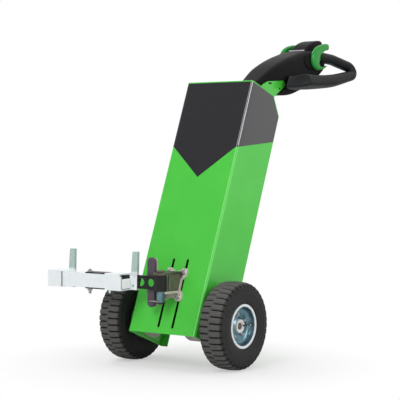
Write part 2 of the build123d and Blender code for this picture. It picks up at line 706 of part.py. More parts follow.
with BuildPart() as fixed_jaw:
    with BuildSketch(Plane.YZ.offset(SLEEVE_X0)):
        with Locations((CLAMP_Y, ARM_Z)):
            Rectangle(SLEEVE_S, SLEEVE_S)
            Rectangle(SLEEVE_S - 2 * SLEEVE_WALL, SLEEVE_S - 2 * SLEEVE_WALL, mode=Mode.SUBTRACT)
    extrude(amount=SLEEVE_X1 - SLEEVE_X0)
    with BuildSketch(Plane.XZ.offset(-post_back)):
        with BuildLine():
            post_face(POST_X)
        make_face()
        with Locations((POST_X, POST_LOW + POST_HOLE_UP)):
            Circle(POST_HOLE_R, mode=Mode.SUBTRACT)
    extrude(amount=POST_T)
    with BuildSketch(Plane.XZ.offset(-(post_front + BACKING_T))):
        with Locations(((SLEEVE_X0 + POST_X) / 2 - POST_HOLE_R, ARM_Z)):
            Rectangle(POST_X - SLEEVE_X0 - 2 * POST_HOLE_R, SLEEVE_S)
    extrude(amount=BACKING_T)
    with BuildSketch(Plane.YZ.offset(SLEEVE_X1)):
        with Locations((CLAMP_Y, ARM_Z + (CAP_UP - SLEEVE_S / 2) / 2)):
            Rectangle(SLEEVE_S, CAP_UP + SLEEVE_S / 2)
    extrude(amount=CAP_T)
    with BuildSketch(Plane.YZ.offset(TONGUE_X0)):
        with Locations((CLAMP_Y, ARM_Z)):
            Rectangle(tongue_s, tongue_s)
    extrude(amount=SLEEVE_X1 + CAP_T - TONGUE_X0)
    with BuildSketch(Plane.XY.offset(ARM_Z - tongue_s)):
        with Locations((BOLT_X, CLAMP_Y)):
            Circle(BOLT_R)
    extrude(amount=2 * tongue_s, mode=Mode.SUBTRACT)
save(fixed_jaw, "fixed_jaw")

with BuildPart() as clamp_bolt:
    with BuildSketch(Plane.XY.offset(ARM_Z - TUBE_S / 2 - 14)):
        with Locations((BOLT_X, CLAMP_Y)):
            Circle(BOLT_R)
    extrude(amount=TUBE_S + 14 + FACE_GAP)
    with BuildSketch(Plane.XY.offset(ARM_Z + TUBE_S / 2 + FACE_GAP)):
        with Locations((BOLT_X, CLAMP_Y)):
            RegularPolygon(9, 6)
    extrude(amount=6)
    with BuildSketch(Plane.XY.offset(ARM_Z - TUBE_S / 2 - FACE_GAP - 7)):
        with Locations((BOLT_X, CLAMP_Y)):
            RegularPolygon(9, 6)
    extrude(amount=7)
save(clamp_bolt, "clamp_bolt")

with BuildPart() as sliding_jaw:
    for x0, x1, size in (
        (TUBE_X0, TUBE_X1, TUBE_S),
        (BOX_X0, BOX_X1, SLEEVE_S),
        (BOX_X1, BOX_X1 + COLLAR_L, COLLAR_S),
    ):
        with BuildSketch(Plane.YZ.offset(x0)):
            with Locations((CLAMP_Y, ARM_Z)):
                Rectangle(size, size)
                Rectangle(TUBE_S - 2 * TUBE_WALL, TUBE_S - 2 * TUBE_WALL, mode=Mode.SUBTRACT)
        extrude(amount=x1 - x0)
    with BuildSketch(Plane.XY.offset(ARM_Z - TUBE_S / 2 - UNDER_T)):
        with Locations(((BOX_X1 + UNDER_X1) / 2, CLAMP_Y)):
            Rectangle(UNDER_X1 - BOX_X1, TUBE_S)
    extrude(amount=UNDER_T)
    with BuildSketch(Plane.XZ.offset(-far_post_back)):
        with BuildLine():
            post_face(FAR_POST_X)
        make_face()
    extrude(amount=POST_T)
    with BuildSketch(Plane.XY.offset(ARM_Z - TUBE_S)):
        with Locations(((SLIDE_SLOT_X0 + SLIDE_SLOT_X1) / 2, CLAMP_Y)):
            SlotOverall(SLIDE_SLOT_X1 - SLIDE_SLOT_X0, SLIDE_SLOT_W)
    extrude(amount=2 * TUBE_S, mode=Mode.SUBTRACT)
save(sliding_jaw, "sliding_jaw")

# Head bracket: two cheeks rising from a foot on the rear chamfer
CHEEK_X, HEAD_CHEEK_T = 43.3, 4.0
HEAD_FOOT_T = 5.0
crest = foot + back_dir * CREST_D + up_dir * CREST_H
heel = foot + back_dir * BODY_D + up_dir * HEEL_H
rear_out = (back_dir * rear_normal.X + up_dir * rear_normal.Y).normalized()
slope_dir = (heel - crest).normalized()
cheek_out = CHEEK_X + HEAD_CHEEK_T
foot_top = slope_dir * 5
foot_low = heel - crest - slope_dir * 5
foot_low_out = foot_low + rear_out * HEAD_FOOT_T
foot_top_out = foot_top + rear_out * HEAD_FOOT_T
# back and up from the crest
CHEEK_OUTLINE = ((60, 39), (86, 49), (179, 56), (194, 39), (137, 9))


def head_plane(x=0.0):
    """Plane across the head, looking to +X; x is back from the crest and y is up."""
    return Plane(origin=(x, crest.Y, crest.Z), x_dir=(0, 1, 0), z_dir=(1, 0, 0))


def cheek_face():
    """Outline of a bracket cheek seen from the side."""
    Polyline(
        (foot_top.Y, foot_top.Z),
        *CHEEK_OUTLINE,
        (foot_low.Y, foot_low.Z),
        close=True,
    )


with BuildPart() as head_bracket:
    for side in (-1, 1):
        with BuildSketch(head_plane(side * CHEEK_X)):
            with BuildLine():
                cheek_face()
            make_face()
        extrude(amount=side * HEAD_CHEEK_T)
    with BuildSketch(head_plane(-cheek_out)):
        with BuildLine():
            Polyline(
                (foot_top.Y, foot_top.Z),
                (foot_low.Y, foot_low.Z),
                (foot_low_out.Y, foot_low_out.Z),
                (foot_top_out.Y, foot_top_out.Z),
                close=True,
            )
        make_face()
    extrude(amount=2 * cheek_out)
save(head_bracket, "head_bracket")

# Steering head: moulded cover with side pockets for the bracket cheeks
HEAD_HALF_W = 58.0
POCKET_GROW = 1.5
# back from the crest, underside and top above it, half width, top and lower corner radius
HEAD_SECTIONS = (
    (20, 31, 47, 34, 7, 3),
    (90, 26, 83, 46, 20, 5),
    (160, 7, 114, 55, 26, 8),
    (250, 21, 142, HEAD_HALF_W, 28, 10),
    (335, 50, 163, HEAD_HALF_W, 28, 12),
    (410, 92, 161, HEAD_HALF_W, 24, 14),
    (430, 112, 143, HEAD_HALF_W - 6, 12, 12),
)
with BuildPart() as head_cover:
    for back, low, top, reach, top_r, low_r in HEAD_SECTIONS:
        section_plane = Plane(
            origin=(0, crest.Y + back, crest.Z), x_dir=(1, 0, 0), z_dir=(0, -1, 0)
        )
        with BuildSketch(section_plane) as head_section:
            with Locations((0, (low + top) / 2)):
                Rectangle(2 * reach, top - low)
            corners = head_section.vertices().group_by(Axis.Y)
            fillet(corners[-1], top_r)
            corners = head_section.vertices().group_by(Axis.Y)
            fillet(corners[0], low_r)
    loft(ruled=True)
    for side in (-1, 1):
        with BuildSketch(head_plane(side * (CHEEK_X - FACE_GAP))):
            with BuildLine():
                cheek_face()
            make_face()
            offset(amount=POCKET_GROW, kind=Kind.INTERSECTION)
        extrude(amount=side * HEAD_HALF_W, mode=Mode.SUBTRACT)
save(head_cover, "head_cover")

# Control pod on top of the head
POD_HALF_W = 34.0
POD_EDGE_R, POD_END_R = 10.0, 18.0
POD_BACK, POD_TOP = 452.0, 203.0    # back from the crest, and above it
POD_FRONT, POD_BASE = 333.0, 150.0
POD_BROW = 75.0         # from the front base back to where the top runs level
with BuildPart() as control_pod:
    with BuildSketch(head_plane(-POD_HALF_W)):
        with BuildLine():
            ThreePointArc(
                (POD_FRONT, POD_BASE),
                (POD_FRONT + POD_BROW * 0.4, POD_TOP - 16),
                (POD_FRONT + POD_BROW, POD_TOP),
            )
            Line((POD_FRONT + POD_BROW, POD_TOP), (POD_BACK - POD_END_R, POD_TOP))
            RadiusArc((POD_BACK - POD_END_R, POD_TOP), (POD_BACK, POD_TOP - POD_END_R), POD_END_R)
            Polyline(
                (POD_BACK, POD_TOP - POD_END_R),
                (POD_BACK, POD_BASE + 14),
                (POD_BACK - 45, POD_BASE - 20),
                (POD_FRONT, POD_BASE - 20),
                (POD_FRONT, POD_BASE),
            )
        make_face()
    extrude(amount=2 * POD_HALF_W)
    fillet(
        control_pod.edges().filter_by(
            lambda e: e.center().Z > crest.Z + POD_BASE and abs(e.center().X) > POD_HALF_W - 2
        ),
        POD_EDGE_R,
    )
    add(head_cover.part, mode=Mode.SUBTRACT)
save(control_pod, "control_pod")

# Grips: a closed loop on each side, from the lever back and round to the head's flank
GRIP_R = 18.0
GRIP_X = 83.5                       # middle of the loop
GRIP_BACK, GRIP_UP = 396.2, 93.9    # back from the crest, and above it
GRIP_TOE, GRIP_SPLAY = 7.0, 24.0
# back along the grip and up it, with the bend radius at each corner between
GRIP_ROUTE = ((-30, 53.5), (45, 47), (134, 22), (138, -6), (96, -16))
GRIP_BENDS = (70, 19, 17)
GRIP_NOSE_R = 10.0
# lower arm, forward to the root: place along and up the grip, half width and half height
ARM_SECTIONS = ((0, -34.5, 20, 20.5), (-110, -41, 23, 21), (-185, -45.5, 27, 25), (-218, -50, 27, 29.5))
FLANK_L, FLANK_H = 360.0, 240.0     # stretch of flank that the grips end on
toe, splay = radians(GRIP_TOE), radians(GRIP_SPLAY)

# Thumb levers: a crescent at each grip's front end with a long prong on top
LEVER_T = 16.0
LEVER_BACK, LEVER_UP, LEVER_R = 360.6, 138.3, 35.5
BITE_BACK, BITE_UP, BITE_R = 401.6, 132.8, 32.0     # round bite that makes the crescent
PRONG_BACK, PRONG_UP, PRONG_TILT = 387.0, 176.3, 3.0
PRONG_L, PRONG_W = 66.0, 20.0
# web between the crescent and the prong, back from the crest and up
LEVER_WEB = ((350, 168), (368, 148), (397, 158), (414, 167), (390, 181))
for name, side in (("right", 1), ("left", -1)):
    along = Vector(side * sin(toe), cos(toe), 0)
    rise = Vector(-side * sin(splay), 0, cos(splay))
    across = along.cross(rise).normalized()
    grip_plane = Plane(
        origin=(side * GRIP_X, crest.Y + GRIP_BACK, crest.Z + GRIP_UP),
        x_dir=along,
        z_dir=across,
    )
    with BuildPart() as grip:
        with BuildLine(grip_plane) as grip_path:
            FilletPolyline(*GRIP_ROUTE, radius=list(GRIP_BENDS))
        loop = grip_path.wires()[0]
        with BuildSketch(Plane(origin=loop @ 0, z_dir=loop % 0)):
            Circle(GRIP_R)
        sweep(path=loop)
        fillet(grip.faces().sort_by_distance(loop @ 0)[0].edges(), GRIP_NOSE_R)
        with BuildSketch(Plane(origin=loop @ 1, x_dir=across, z_dir=loop % 1)):
            Circle(GRIP_R)
        for s, t, wide, high in ARM_SECTIONS:
            with BuildSketch(
                Plane(origin=grip_plane.from_local_coords((s, t, 0)), x_dir=across, z_dir=-along)
            ):
                Ellipse(wide, high)
        loft()
        fillet(grip.faces().sort_by(Axis.Y)[0].edges(), GRIP_NOSE_R)
        with BuildSketch(head_plane()):
            with Locations((GRIP_BACK - FLANK_L / 3, GRIP_UP)):
                Rectangle(FLANK_L, FLANK_H)
        extrude(amount=side * HEAD_HALF_W, mode=Mode.SUBTRACT)
    save(grip, f"grip_{name}")
    with BuildPart() as lever:
        with BuildSketch(head_plane(side * HEAD_HALF_W)):
            with Locations((LEVER_BACK, LEVER_UP)):
                Circle(LEVER_R)
            with Locations((BITE_BACK, BITE_UP)):
                Circle(BITE_R, mode=Mode.SUBTRACT)
            with BuildLine():
                Polyline(*LEVER_WEB, close=True)
            make_face()
            with Locations((PRONG_BACK, PRONG_UP)):
                SlotOverall(PRONG_L, PRONG_W, rotation=PRONG_TILT)
        extrude(amount=side * LEVER_T)
        add(grip.part, mode=Mode.SUBTRACT)
    save(lever, f"thumb_lever_{name}")
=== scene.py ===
# %% [markdown]
# # A walk-behind electric tug, dressed for its picture
# The CAD model arrives as a fixed frame of named solids in metres, with Z up, the coupling
# towards -Y and the operator towards +Y. This lesson never moves or resizes those solids. It
# gives each of them a real finish, stands finer meshes over the ones that are too plain, and
# adds what is too small for the CAD file: bolts, tyre blocks, welds, screws and seals.

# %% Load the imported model
import json
import math

import bmesh
import bpy
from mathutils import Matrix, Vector


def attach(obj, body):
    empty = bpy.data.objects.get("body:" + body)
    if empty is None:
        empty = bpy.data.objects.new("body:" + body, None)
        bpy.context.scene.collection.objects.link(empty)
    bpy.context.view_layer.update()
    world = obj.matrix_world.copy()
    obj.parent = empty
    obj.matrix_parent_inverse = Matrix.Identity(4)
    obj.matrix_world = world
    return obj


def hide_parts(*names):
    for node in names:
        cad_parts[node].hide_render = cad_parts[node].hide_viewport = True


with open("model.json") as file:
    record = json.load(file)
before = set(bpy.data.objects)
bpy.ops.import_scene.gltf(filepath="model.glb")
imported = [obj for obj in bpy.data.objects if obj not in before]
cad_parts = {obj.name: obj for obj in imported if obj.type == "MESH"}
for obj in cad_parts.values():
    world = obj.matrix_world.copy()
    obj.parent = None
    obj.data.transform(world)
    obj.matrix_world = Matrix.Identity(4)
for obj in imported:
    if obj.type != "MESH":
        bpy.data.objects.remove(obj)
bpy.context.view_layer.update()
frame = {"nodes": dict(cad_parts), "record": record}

print("solids in the frame:", len(frame["nodes"]))

# %% [markdown]
# The housing leans back, so most places on it are easier to say along its own face than in
# world axes: up along the front panel and back through the housing, from the middle of its
# lower front edge. The head is measured from the crest. All such numbers are millimetres.

# %% Places on the machine
MM = 0.001
LEAN = math.radians(21.87)
UP = Vector((0, math.sin(LEAN), math.cos(LEAN)))
BACK = Vector((0, math.cos(LEAN), -math.sin(LEAN)))
FOOT = Vector((0, -0.1085, 0.1039))
HALF_W, BODY_D = 124.0, 176.0
CREST_D, CREST_H, HEEL_H = 123.0, 818.0, 768.0
SIDES = (("left", -1), ("right", 1))


def at(x, y, z):
    """A point in the world's axes."""
    return Vector((x, y, z)) * MM


def on_body(x, height, depth=0.0):
    """A point given across, up the front panel and back from it."""
    return FOOT + (Vector((x, 0, 0)) + UP * height + BACK * depth) * MM


CREST = on_body(0, CREST_H, CREST_D)


def from_crest(x, back, up):
    """A point of the steering head, from the middle of the housing's crest."""
    return CREST + at(x, back, up)


print("crest of the housing at", [round(v, 4) for v in CREST])

# %% [markdown]
# ## Reading the frame
# Every solid belongs to one moving body and one finish of the record. New pieces take both
# from the solid they stand for, so they are looked up once here.

# %% Which body and which finish a solid has
record = frame["record"]
BODY_OF = {node: body for body, nodes in record["behaviour"]["bodies"].items() for node in nodes}
SLOT_OF = {row["node"]: row["material_slot"] for row in record["subparts"]}
print("bodies:", sorted(set(BODY_OF.values())))

# %% [markdown]
# ## Writing a material as arithmetic
# A material is a small calculation that runs at every point of a surface. Wiring nodes by
# hand hides that, so two helpers are used: Wire stands for a value on its way between nodes
# and turns + - * / into Math nodes, and Finish makes a material and any other node in it.

# %% A value on its way between nodes
class Wire:
    """A socket's value; arithmetic on it adds the Math nodes that work it out."""

    def __init__(self, finish, socket):
        self.finish = finish
        self.socket = socket

    def work(self, operation, *values):
        return self.finish.node("ShaderNodeMath", {"operation": operation}, dict(enumerate(values)))

    def __add__(self, other):
        return self.work("ADD", self, other)

    def __radd__(self, other):
        return self.work("ADD", other, self)

    def __sub__(self, other):
        return self.work("SUBTRACT", self, other)

    def __rsub__(self, other):
        return self.work("SUBTRACT", other, self)

    def __mul__(self, other):
        return self.work("MULTIPLY", self, other)

    def __rmul__(self, other):
        return self.work("MULTIPLY", other, self)

    def __truediv__(self, other):
        return self.work("DIVIDE", self, other)

    def __pow__(self, other):
        return self.work("POWER", self, other)

    def __abs__(self):
        return self.work("ABSOLUTE", self)

    def clamp(self):
        return self.work("MINIMUM", self.work("MAXIMUM", self, 0.0), 1.0)

    def step(self, low, high):
        """0 below low, 1 above high and a ramp between them."""
        return ((self - low) / (high - low)).clamp()


print("a wire understands + - * / ** and abs()")


# %% A material and its nodes
class Finish:
    """A material with one Principled shader, and helpers that feed it."""

    def __init__(self, name, colour, roughness, metallic=0.0, **fixed):
        """Roughness is a number, or its least value, its spread and its patches in a metre."""
        self.material = bpy.data.materials.new(name)
        self.material.use_nodes = True
        self.tree = self.material.node_tree
        self.shader = self.tree.nodes["Principled BSDF"]
        self.material.diffuse_color = (*colour, 1)
        self.feed("Base Color", (*colour, 1))
        if isinstance(roughness, tuple):
            least, spread, patches = roughness
            roughness = least + self.noise(patches) * spread
        self.feed("Roughness", roughness)
        self.feed("Metallic", metallic)
        for socket, value in fixed.items():
            self.feed(socket.replace("_", " "), value)

    def feed(self, socket, value):
        """Set one of the shader's sockets to a value, or link a wire to it."""
        self.put(self.shader.inputs[socket], value)

    def put(self, socket, value):
        if isinstance(value, Wire):
            self.tree.links.new(value.socket, socket)
        else:
            socket.default_value = value

    def node(self, kind, settings=None, values=None, out=0):
        """Add a node: its settings first, then its sockets; returns one output as a wire."""
        node = self.tree.nodes.new(kind)
        for key, value in (settings or {}).items():
            setattr(node, key, value)
        for key, value in (values or {}).items():
            self.put(node.inputs[key], value)
        return Wire(self, node.outputs[out])

    def place(self):
        """The surface point in the piece's own metres."""
        return self.node("ShaderNodeTexCoord", out="Object")

    def axis(self, which):
        """One coordinate of the surface point."""
        return self.node("ShaderNodeSeparateXYZ", None, {0: self.place()}, which)

    def noise(self, scale, detail=3.0):
        """Cloudy noise from 0 to 1; scale is how many lumps fit in a metre."""
        values = {"Vector": self.place(), "Scale": scale, "Detail": detail, "Roughness": 0.5}
        return self.node("ShaderNodeTexNoise", None, values)

    def grains(self, scale):
        """Cell noise: distance to the nearest of many scattered grains."""
        return self.node("ShaderNodeTexVoronoi", None, {"Vector": self.place(), "Scale": scale})

    def mottle(self, factor, a, b):
        """Let the colour go from one to another by a factor."""
        values = {0: factor, 6: (*a, 1), 7: (*b, 1)}
        self.feed("Base Color", self.node("ShaderNodeMix", {"data_type": "RGBA"}, values, 2))

    def bump(self, height, depth):
        """Turn a height from 0 to 1 into a relief of the given depth in metres."""
        self.feed("Normal", self.node("ShaderNodeBump", None, {"Height": height, "Distance": depth}))


def rgb(r, g, b):
    """A colour as read on a screen, 0 to 255, as the linear values a shader wants."""
    return tuple(((v / 255 + 0.055) / 1.055) ** 2.4 if v > 10 else v / 3294.6 for v in (r, g, b))


print("mid grey in linear light:", round(rgb(128, 128, 128)[0], 3))

# %% [markdown]
# ## Green powder coat
# The housing is folded steel sheet with a gloss powder coat. Powder melts into a skin that is
# never quite flat, which painters call orange peel: lumps of about a millimetre and a few
# microns high. An image of that would repeat, noise never does. A thin clear coat gives the
# sharp reflection, and the paint below stays plain.

# %% Green powder coat
green = Finish(
    "green_powder_coat", rgb(74, 200, 64), (0.28, 0.14, 38), Coat_Weight=0.25, Coat_Roughness=0.08
)
green.mottle(green.noise(9, 2), rgb(66, 192, 57), rgb(80, 205, 69))
green.bump(green.noise(520, 2), 0.00005)
print("green:", [round(v, 3) for v in rgb(74, 200, 64)])

# %% [markdown]
# ## Dark glossy film
# The upper housing carries a self-adhesive film. It is smooth and follows the sheet, so it
# only shows very long, faint waves, and its coat reflects more clearly than the paint beside it.

# %% Dark glossy film
film = Finish("dark_gloss_film", rgb(42, 41, 45), (0.19, 0.07, 25), Coat_Weight=0.5, Coat_Roughness=0.03)
film.bump(film.noise(14, 1), 0.0001)
print("film nodes:", len(film.tree.nodes))

# %% [markdown]
# ## Moulded plastics
# The head is moulded with a fine grain that hides fingerprints, the grips are a softer skin on
# the same frame, and the levers are a smooth green plastic. Cell noise makes grain, and the
# roughness wanders a little where hands have rubbed it.

# %% Black, grip and lever plastic
black = Finish("moulded_black_plastic", rgb(25, 24, 25), (0.34, 0.12, 45), Specular_IOR_Level=0.04)
black.bump(black.grains(1400), 0.00005)
grip_skin = Finish("soft_grip", rgb(27, 28, 30), (0.3, 0.12, 60), Specular_IOR_Level=0.14)
grip_skin.bump(grip_skin.grains(1800), 0.00005)
lever_green = Finish("green_lever_plastic", rgb(26, 148, 50), (0.2, 0.1, 70), Specular_IOR_Level=0.35)
lever_green.bump(lever_green.noise(350, 2), 0.00003)
battery_case = Finish("battery_case_plastic", rgb(58, 60, 66), (0.48, 0.15, 40))
battery_case.bump(battery_case.grains(900), 0.0001)
# A pale material for painted highlights along the film's bends and the pod's front edge.
pale_seal = Finish("pale_seal", rgb(214, 214, 216), (0.34, 0.15, 80))
print("plastics:", black.material.name, grip_skin.material.name, lever_green.material.name)

# %% [markdown]
# ## Zinc plate
# The clamp is bright zinc plate, a little blue and patchy where the bath left crystals. Its
# upright posts are darker, so the colour changes with the height above the
# arm. Rims are blue-passivated inside the dish and bright on the lip; inboard they are painted dark, as
# painted shade between wheel and housing.

# %% Zinc on the clamp
POSTS_FROM, POSTS_FULL = 0.279, 0.287
zinc = Finish("bright_zinc", rgb(234, 240, 243), (0.26, 0.14, 120), 0.15)
upright = zinc.axis(2).step(POSTS_FROM, POSTS_FULL) * 0.9
zinc.mottle((zinc.noise(30, 4) * 0.2 + upright).clamp(), rgb(243, 248, 250), rgb(176, 196, 193))
zinc.bump(zinc.noise(260, 2), 0.00004)
# Painted light: a whiter zinc for the sleeve's end plug, as if its end face were in full light.
end_white = Finish("end_white", rgb(250, 252, 253), (0.4, 0.12, 90))
print("zinc nodes:", len(zinc.tree.nodes))

# %% Zinc on the rims
blue_zinc = Finish("blue_zinc", rgb(150, 186, 198), 0.26, 0.8)
patches = blue_zinc.noise(55, 3)
blue_zinc.mottle(patches, rgb(64, 98, 112), rgb(134, 166, 176))
blue_zinc.feed("Roughness", 0.2 + patches * 0.16)
blue_zinc.bump(blue_zinc.noise(300, 2), 0.00003)
rim_zinc = Finish("rim_zinc", rgb(226, 232, 234), 0.3, 0.15)
# Painted shade: the rim goes dark on its side towards the housing.
inboard_painted_shade = 1.0 - abs(rim_zinc.axis(0)).step(0.160, 0.166)
rim_zinc.mottle(inboard_painted_shade, rgb(226, 232, 234), rgb(22, 22, 23))
rim_zinc.feed("Roughness", 0.26 + rim_zinc.noise(120) * 0.14 + inboard_painted_shade * 0.3)
rim_zinc.bump(rim_zinc.noise(260, 2), 0.00004)
print("rim zinc nodes:", len(rim_zinc.tree.nodes))

# %% [markdown]
# ## Painted, turned and cast metal
# The arm is satin black paint, pins and bolts are turned steel, and the bracket and the axle
# casting have the sandy skin of a mould. Each is a base metal with its own noise: fine lines
# would need a lathe's direction, which cannot be seen at this distance.

# %% Satin paint, turned steel and castings
black_paint = Finish("satin_black_paint", rgb(24, 23, 24), (0.33, 0.14, 90), Specular_IOR_Level=0.3)
black_paint.bump(black_paint.noise(600, 2), 0.00006)
turned = Finish("turned_steel", rgb(176, 174, 172), (0.25, 0.15, 200), 0.9)
turned.bump(turned.noise(900, 1), 0.00002)
cast = Finish("sand_cast_metal", rgb(186, 177, 168), (0.4, 0.2, 150), 0.45)
cast.mottle(cast.noise(40), rgb(168, 158, 148), rgb(208, 200, 192))
cast.bump(cast.noise(700, 3), 0.00012)
print("metals:", black_paint.material.name, turned.material.name, cast.material.name)

# %% [markdown]
# The coupling bracket is pale on its plate and dark on its upper ear. A point's distance in front of the
# panel tells the ear from the plate.

# %% The coupling bracket's casting
bracket = Finish("bracket_casting", rgb(206, 197, 188), (0.4, 0.2, 150), 0.3)
ahead = (bracket.axis(1) - FOOT.y) * -BACK.y + (bracket.axis(2) - FOOT.z) * -BACK.z
upper_ear = ahead.step(0.010, 0.015) * bracket.axis(2).step(0.262, 0.270)
bracket.mottle((upper_ear * 0.85 + bracket.noise(40) * 0.2).clamp(), rgb(212, 203, 194), rgb(70, 68, 56))
bracket.bump(bracket.noise(700, 3), 0.0001)
print("bracket nodes:", len(bracket.tree.nodes))

# %% White enamel, browned and olive steel
enamel = Finish("white_enamel", rgb(226, 226, 224), (0.3, 0.12, 90))
enamel.bump(enamel.noise(400, 2), 0.00003)
browned = Finish("browned_steel", rgb(84, 62, 50), (0.45, 0.2, 300), 0.5)
browned.mottle(browned.noise(220), rgb(66, 48, 40), rgb(112, 84, 66))
olive = Finish("olive_steel", rgb(96, 94, 80), (0.42, 0.2, 90), 0.3)
olive.mottle(olive.noise(60), rgb(78, 76, 64), rgb(116, 112, 98))
olive.bump(olive.noise(500, 2), 0.00005)
print("wheel centres:", enamel.material.name, browned.material.name, olive.material.name)

# %% [markdown]
# ## Rubber
# Tyre rubber is a matt near-black. The tops of the blocks are worn pale, and the grooves and
# walls stay dark, so the colour follows the distance from the axle. The walls towards the
# housing are darker still: painted shade. The buffer pad is a softer, greyer rubber with a cut face.

# %% Tyre rubber and grey rubber
AXLE_Z = 130.0
rubber = Finish("tyre_rubber", rgb(56, 54, 53), 0.72, Specular_IOR_Level=0.3)
dust = rubber.noise(30, 4)
forward, height = rubber.axis(1), rubber.axis(2) - AXLE_Z * MM
radius = (forward * forward + height * height) ** 0.5
# Painted shade: the walls towards the housing are darkened.
inner_wall_painted_shade = (1.0 - abs(rubber.axis(0)).step(0.146, 0.152)) * (1.0 - radius.step(0.116, 0.12))
wear_and_inner_shade = radius.step(0.1215, 0.1262) * 0.85 + dust * 0.3 - 0.08 - inner_wall_painted_shade
rubber.mottle(wear_and_inner_shade.clamp(), rgb(27, 27, 27), rgb(85, 84, 82))
rubber.feed("Roughness", 0.6 + dust * 0.2)
rubber.bump(rubber.noise(1500, 2), 0.00008)
grey_rubber = Finish("grey_rubber", rgb(84, 76, 84), (0.6, 0.18, 50), Specular_IOR_Level=0.3)
grey_rubber.bump(grey_rubber.noise(1100, 3), 0.0001)
print("tyre rubber nodes:", len(rubber.tree.nodes))

# %% Which finish each slot of the record gets
FINISH = {
    "green_paint": green,
    "dark_film": film,
    "black_plastic": black,
    "green_plastic": lever_green,
    "zinc": zinc,
    "black_steel": black_paint,
    "steel": turned,
    "cast": cast,
    "tyre_rubber": rubber,
    "grey_rubber": grey_rubber,
    "battery_case": battery_case,
}
for name, solid in frame["nodes"].items():
    solid.data.materials.clear()
    solid.data.materials.append(FINISH[SLOT_OF[name]].material)
print("finishes:", len(FINISH))

# %% [markdown]
# ## Making meshes
# Two ways of making a shape cover this machine: skinning a row of rings, as cloth over ribs,
# and turning a profile round an axis, as on a lathe. Primitives and hand modelling would do
# too, but numbers in a list can be set against the picture. One small class collects the
# corners and faces, so that twenty bolts can be one piece.

# %% A collector of corners and faces
class Shape:
    """Corners and faces in metres, which become one mesh piece."""

    def __init__(self):
        self.corners = []
        self.faces = []

    def skin(self, rings, caps=True, loop=False):
        """Skin a row of rings with the same number of points."""
        start, size = len(self.corners), len(rings[0])
        for ring in rings:
            self.corners.extend(ring)
        rows = len(rings)
        for i in range(rows if loop else rows - 1):
            here, there = start + i * size, start + (i + 1) % rows * size
            for j in range(size):
                k = (j + 1) % size
                self.faces.append((here + j, here + k, there + k, there + j))
        if caps and not loop:
            self.faces.append(tuple(start + j for j in reversed(range(size))))
            self.faces.append(tuple(start + (rows - 1) * size + j for j in range(size)))
        return self

    def turn(self, profile, centre, axis, steps=64, loop=False):
        """Turn a profile of (along, radius) round an axis through a centre."""
        axis = Vector(axis).normalized()
        side = axis.orthogonal().normalized()
        other = axis.cross(side)
        angles = [math.tau * i / steps for i in range(steps)]
        spokes = [side * math.cos(angle) + other * math.sin(angle) for angle in angles]
        rings = []
        for along, radius in profile:
            middle = centre + axis * along * MM
            rings.append([middle + spoke * radius * MM for spoke in spokes])
        return self.skin(rings, loop=loop)

    def hex_bolt(self, seat, axis, size=8.0):
        """A hexagon head on a washer, standing on a seat and pointing along an axis."""
        low, top = 1.4, 1.4 + size * 0.62
        washer = [(0, size * 0.5), (0, size * 1.05), (1.2, size * 1.05), (low, size)]
        head = [(low, size * 0.86), (low + size * 0.5, size * 0.86), (top, size * 0.74)]
        tip = [(top - 0.3, size * 0.5), (top + size * 0.3, size * 0.5), (top + size * 0.38, size * 0.4)]
        for profile, steps in ((washer, 24), (head, 6), (tip, 16)):
            self.turn(profile, seat, axis, steps)


bolt = Shape()
bolt.hex_bolt(at(0, 0, 0), (0, 0, 1))
print("faces of one bolt:", len(bolt.faces))


# %% Helpers that clean and finish a mesh
def show(name, data):
    """An object with this data, in the scene."""
    piece = bpy.data.objects.new(name, data)
    bpy.context.scene.collection.objects.link(piece)
    return piece


def solid_of(name, shape):
    """A mesh object of a shape."""
    mesh = bpy.data.meshes.new(name)
    mesh.from_pydata([tuple(p) for p in shape.corners], [], shape.faces)
    return show(name, mesh)


def clean(mesh, merge=1e-6, flatten=0.0):
    """Merge doubled corners, join up flat faces if asked, and turn every face outward."""
    work = bmesh.new()
    work.from_mesh(mesh)
    bmesh.ops.remove_doubles(work, verts=work.verts, dist=merge)
    if flatten:
        bmesh.ops.dissolve_limit(work, angle_limit=flatten, verts=work.verts, edges=work.edges)
    bmesh.ops.recalc_face_normals(work, faces=work.faces)
    work.to_mesh(mesh)
    work.free()


def apply_modifiers(piece):
    """Make what the modifiers show the piece's own mesh."""
    bpy.context.view_layer.update()
    ready = piece.evaluated_get(bpy.context.evaluated_depsgraph_get())
    piece.data = bpy.data.meshes.new_from_object(ready)
    piece.modifiers.clear()


def settle(piece, node, bevel=0.0, segments=2, smooth=35, finish=None, stands_for=True, body=None):
    """Round a piece's edges, smooth it, give it its finish and let it ride where a solid rides."""
    clean(piece.data)
    if bevel:
        rounding = piece.modifiers.new("rounding", "BEVEL")
        rounding.width = bevel * MM
        rounding.segments = segments
        rounding.limit_method = "ANGLE"
        rounding.angle_limit = math.radians(32)
        piece.modifiers.new("flats", "WEIGHTED_NORMAL").keep_sharp = True
    for face in piece.data.polygons:
        face.use_smooth = True
    piece.data.set_sharp_from_angle(angle=math.radians(smooth))
    if bevel:
        apply_modifiers(piece)
    piece.data.materials.clear()
    piece.data.materials.append((finish or FINISH[SLOT_OF[node]]).material)
    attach(piece, body or BODY_OF[node])
    if stands_for:
        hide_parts(node)
    return piece


print("mesh helpers ready")


# %% Three ways to a finished piece, and one to cut it
def make(name, shape, node, **how):
    """A new piece that stands for a solid."""
    return settle(solid_of(name, shape), node, **how)


def trim(name, shape, node, **how):
    """A new piece that is added to a solid and rides with it."""
    return make(name, shape, node, stands_for=False, **how)


def soften(node, bevel, **how):
    """A finer copy of a solid, with its flat faces joined up and its edges rounded."""
    piece = show(f"{node}_fine", frame["nodes"][node].data.copy())
    clean(piece.data, 2e-6, math.radians(0.8))
    return settle(piece, node, bevel=bevel, **how)


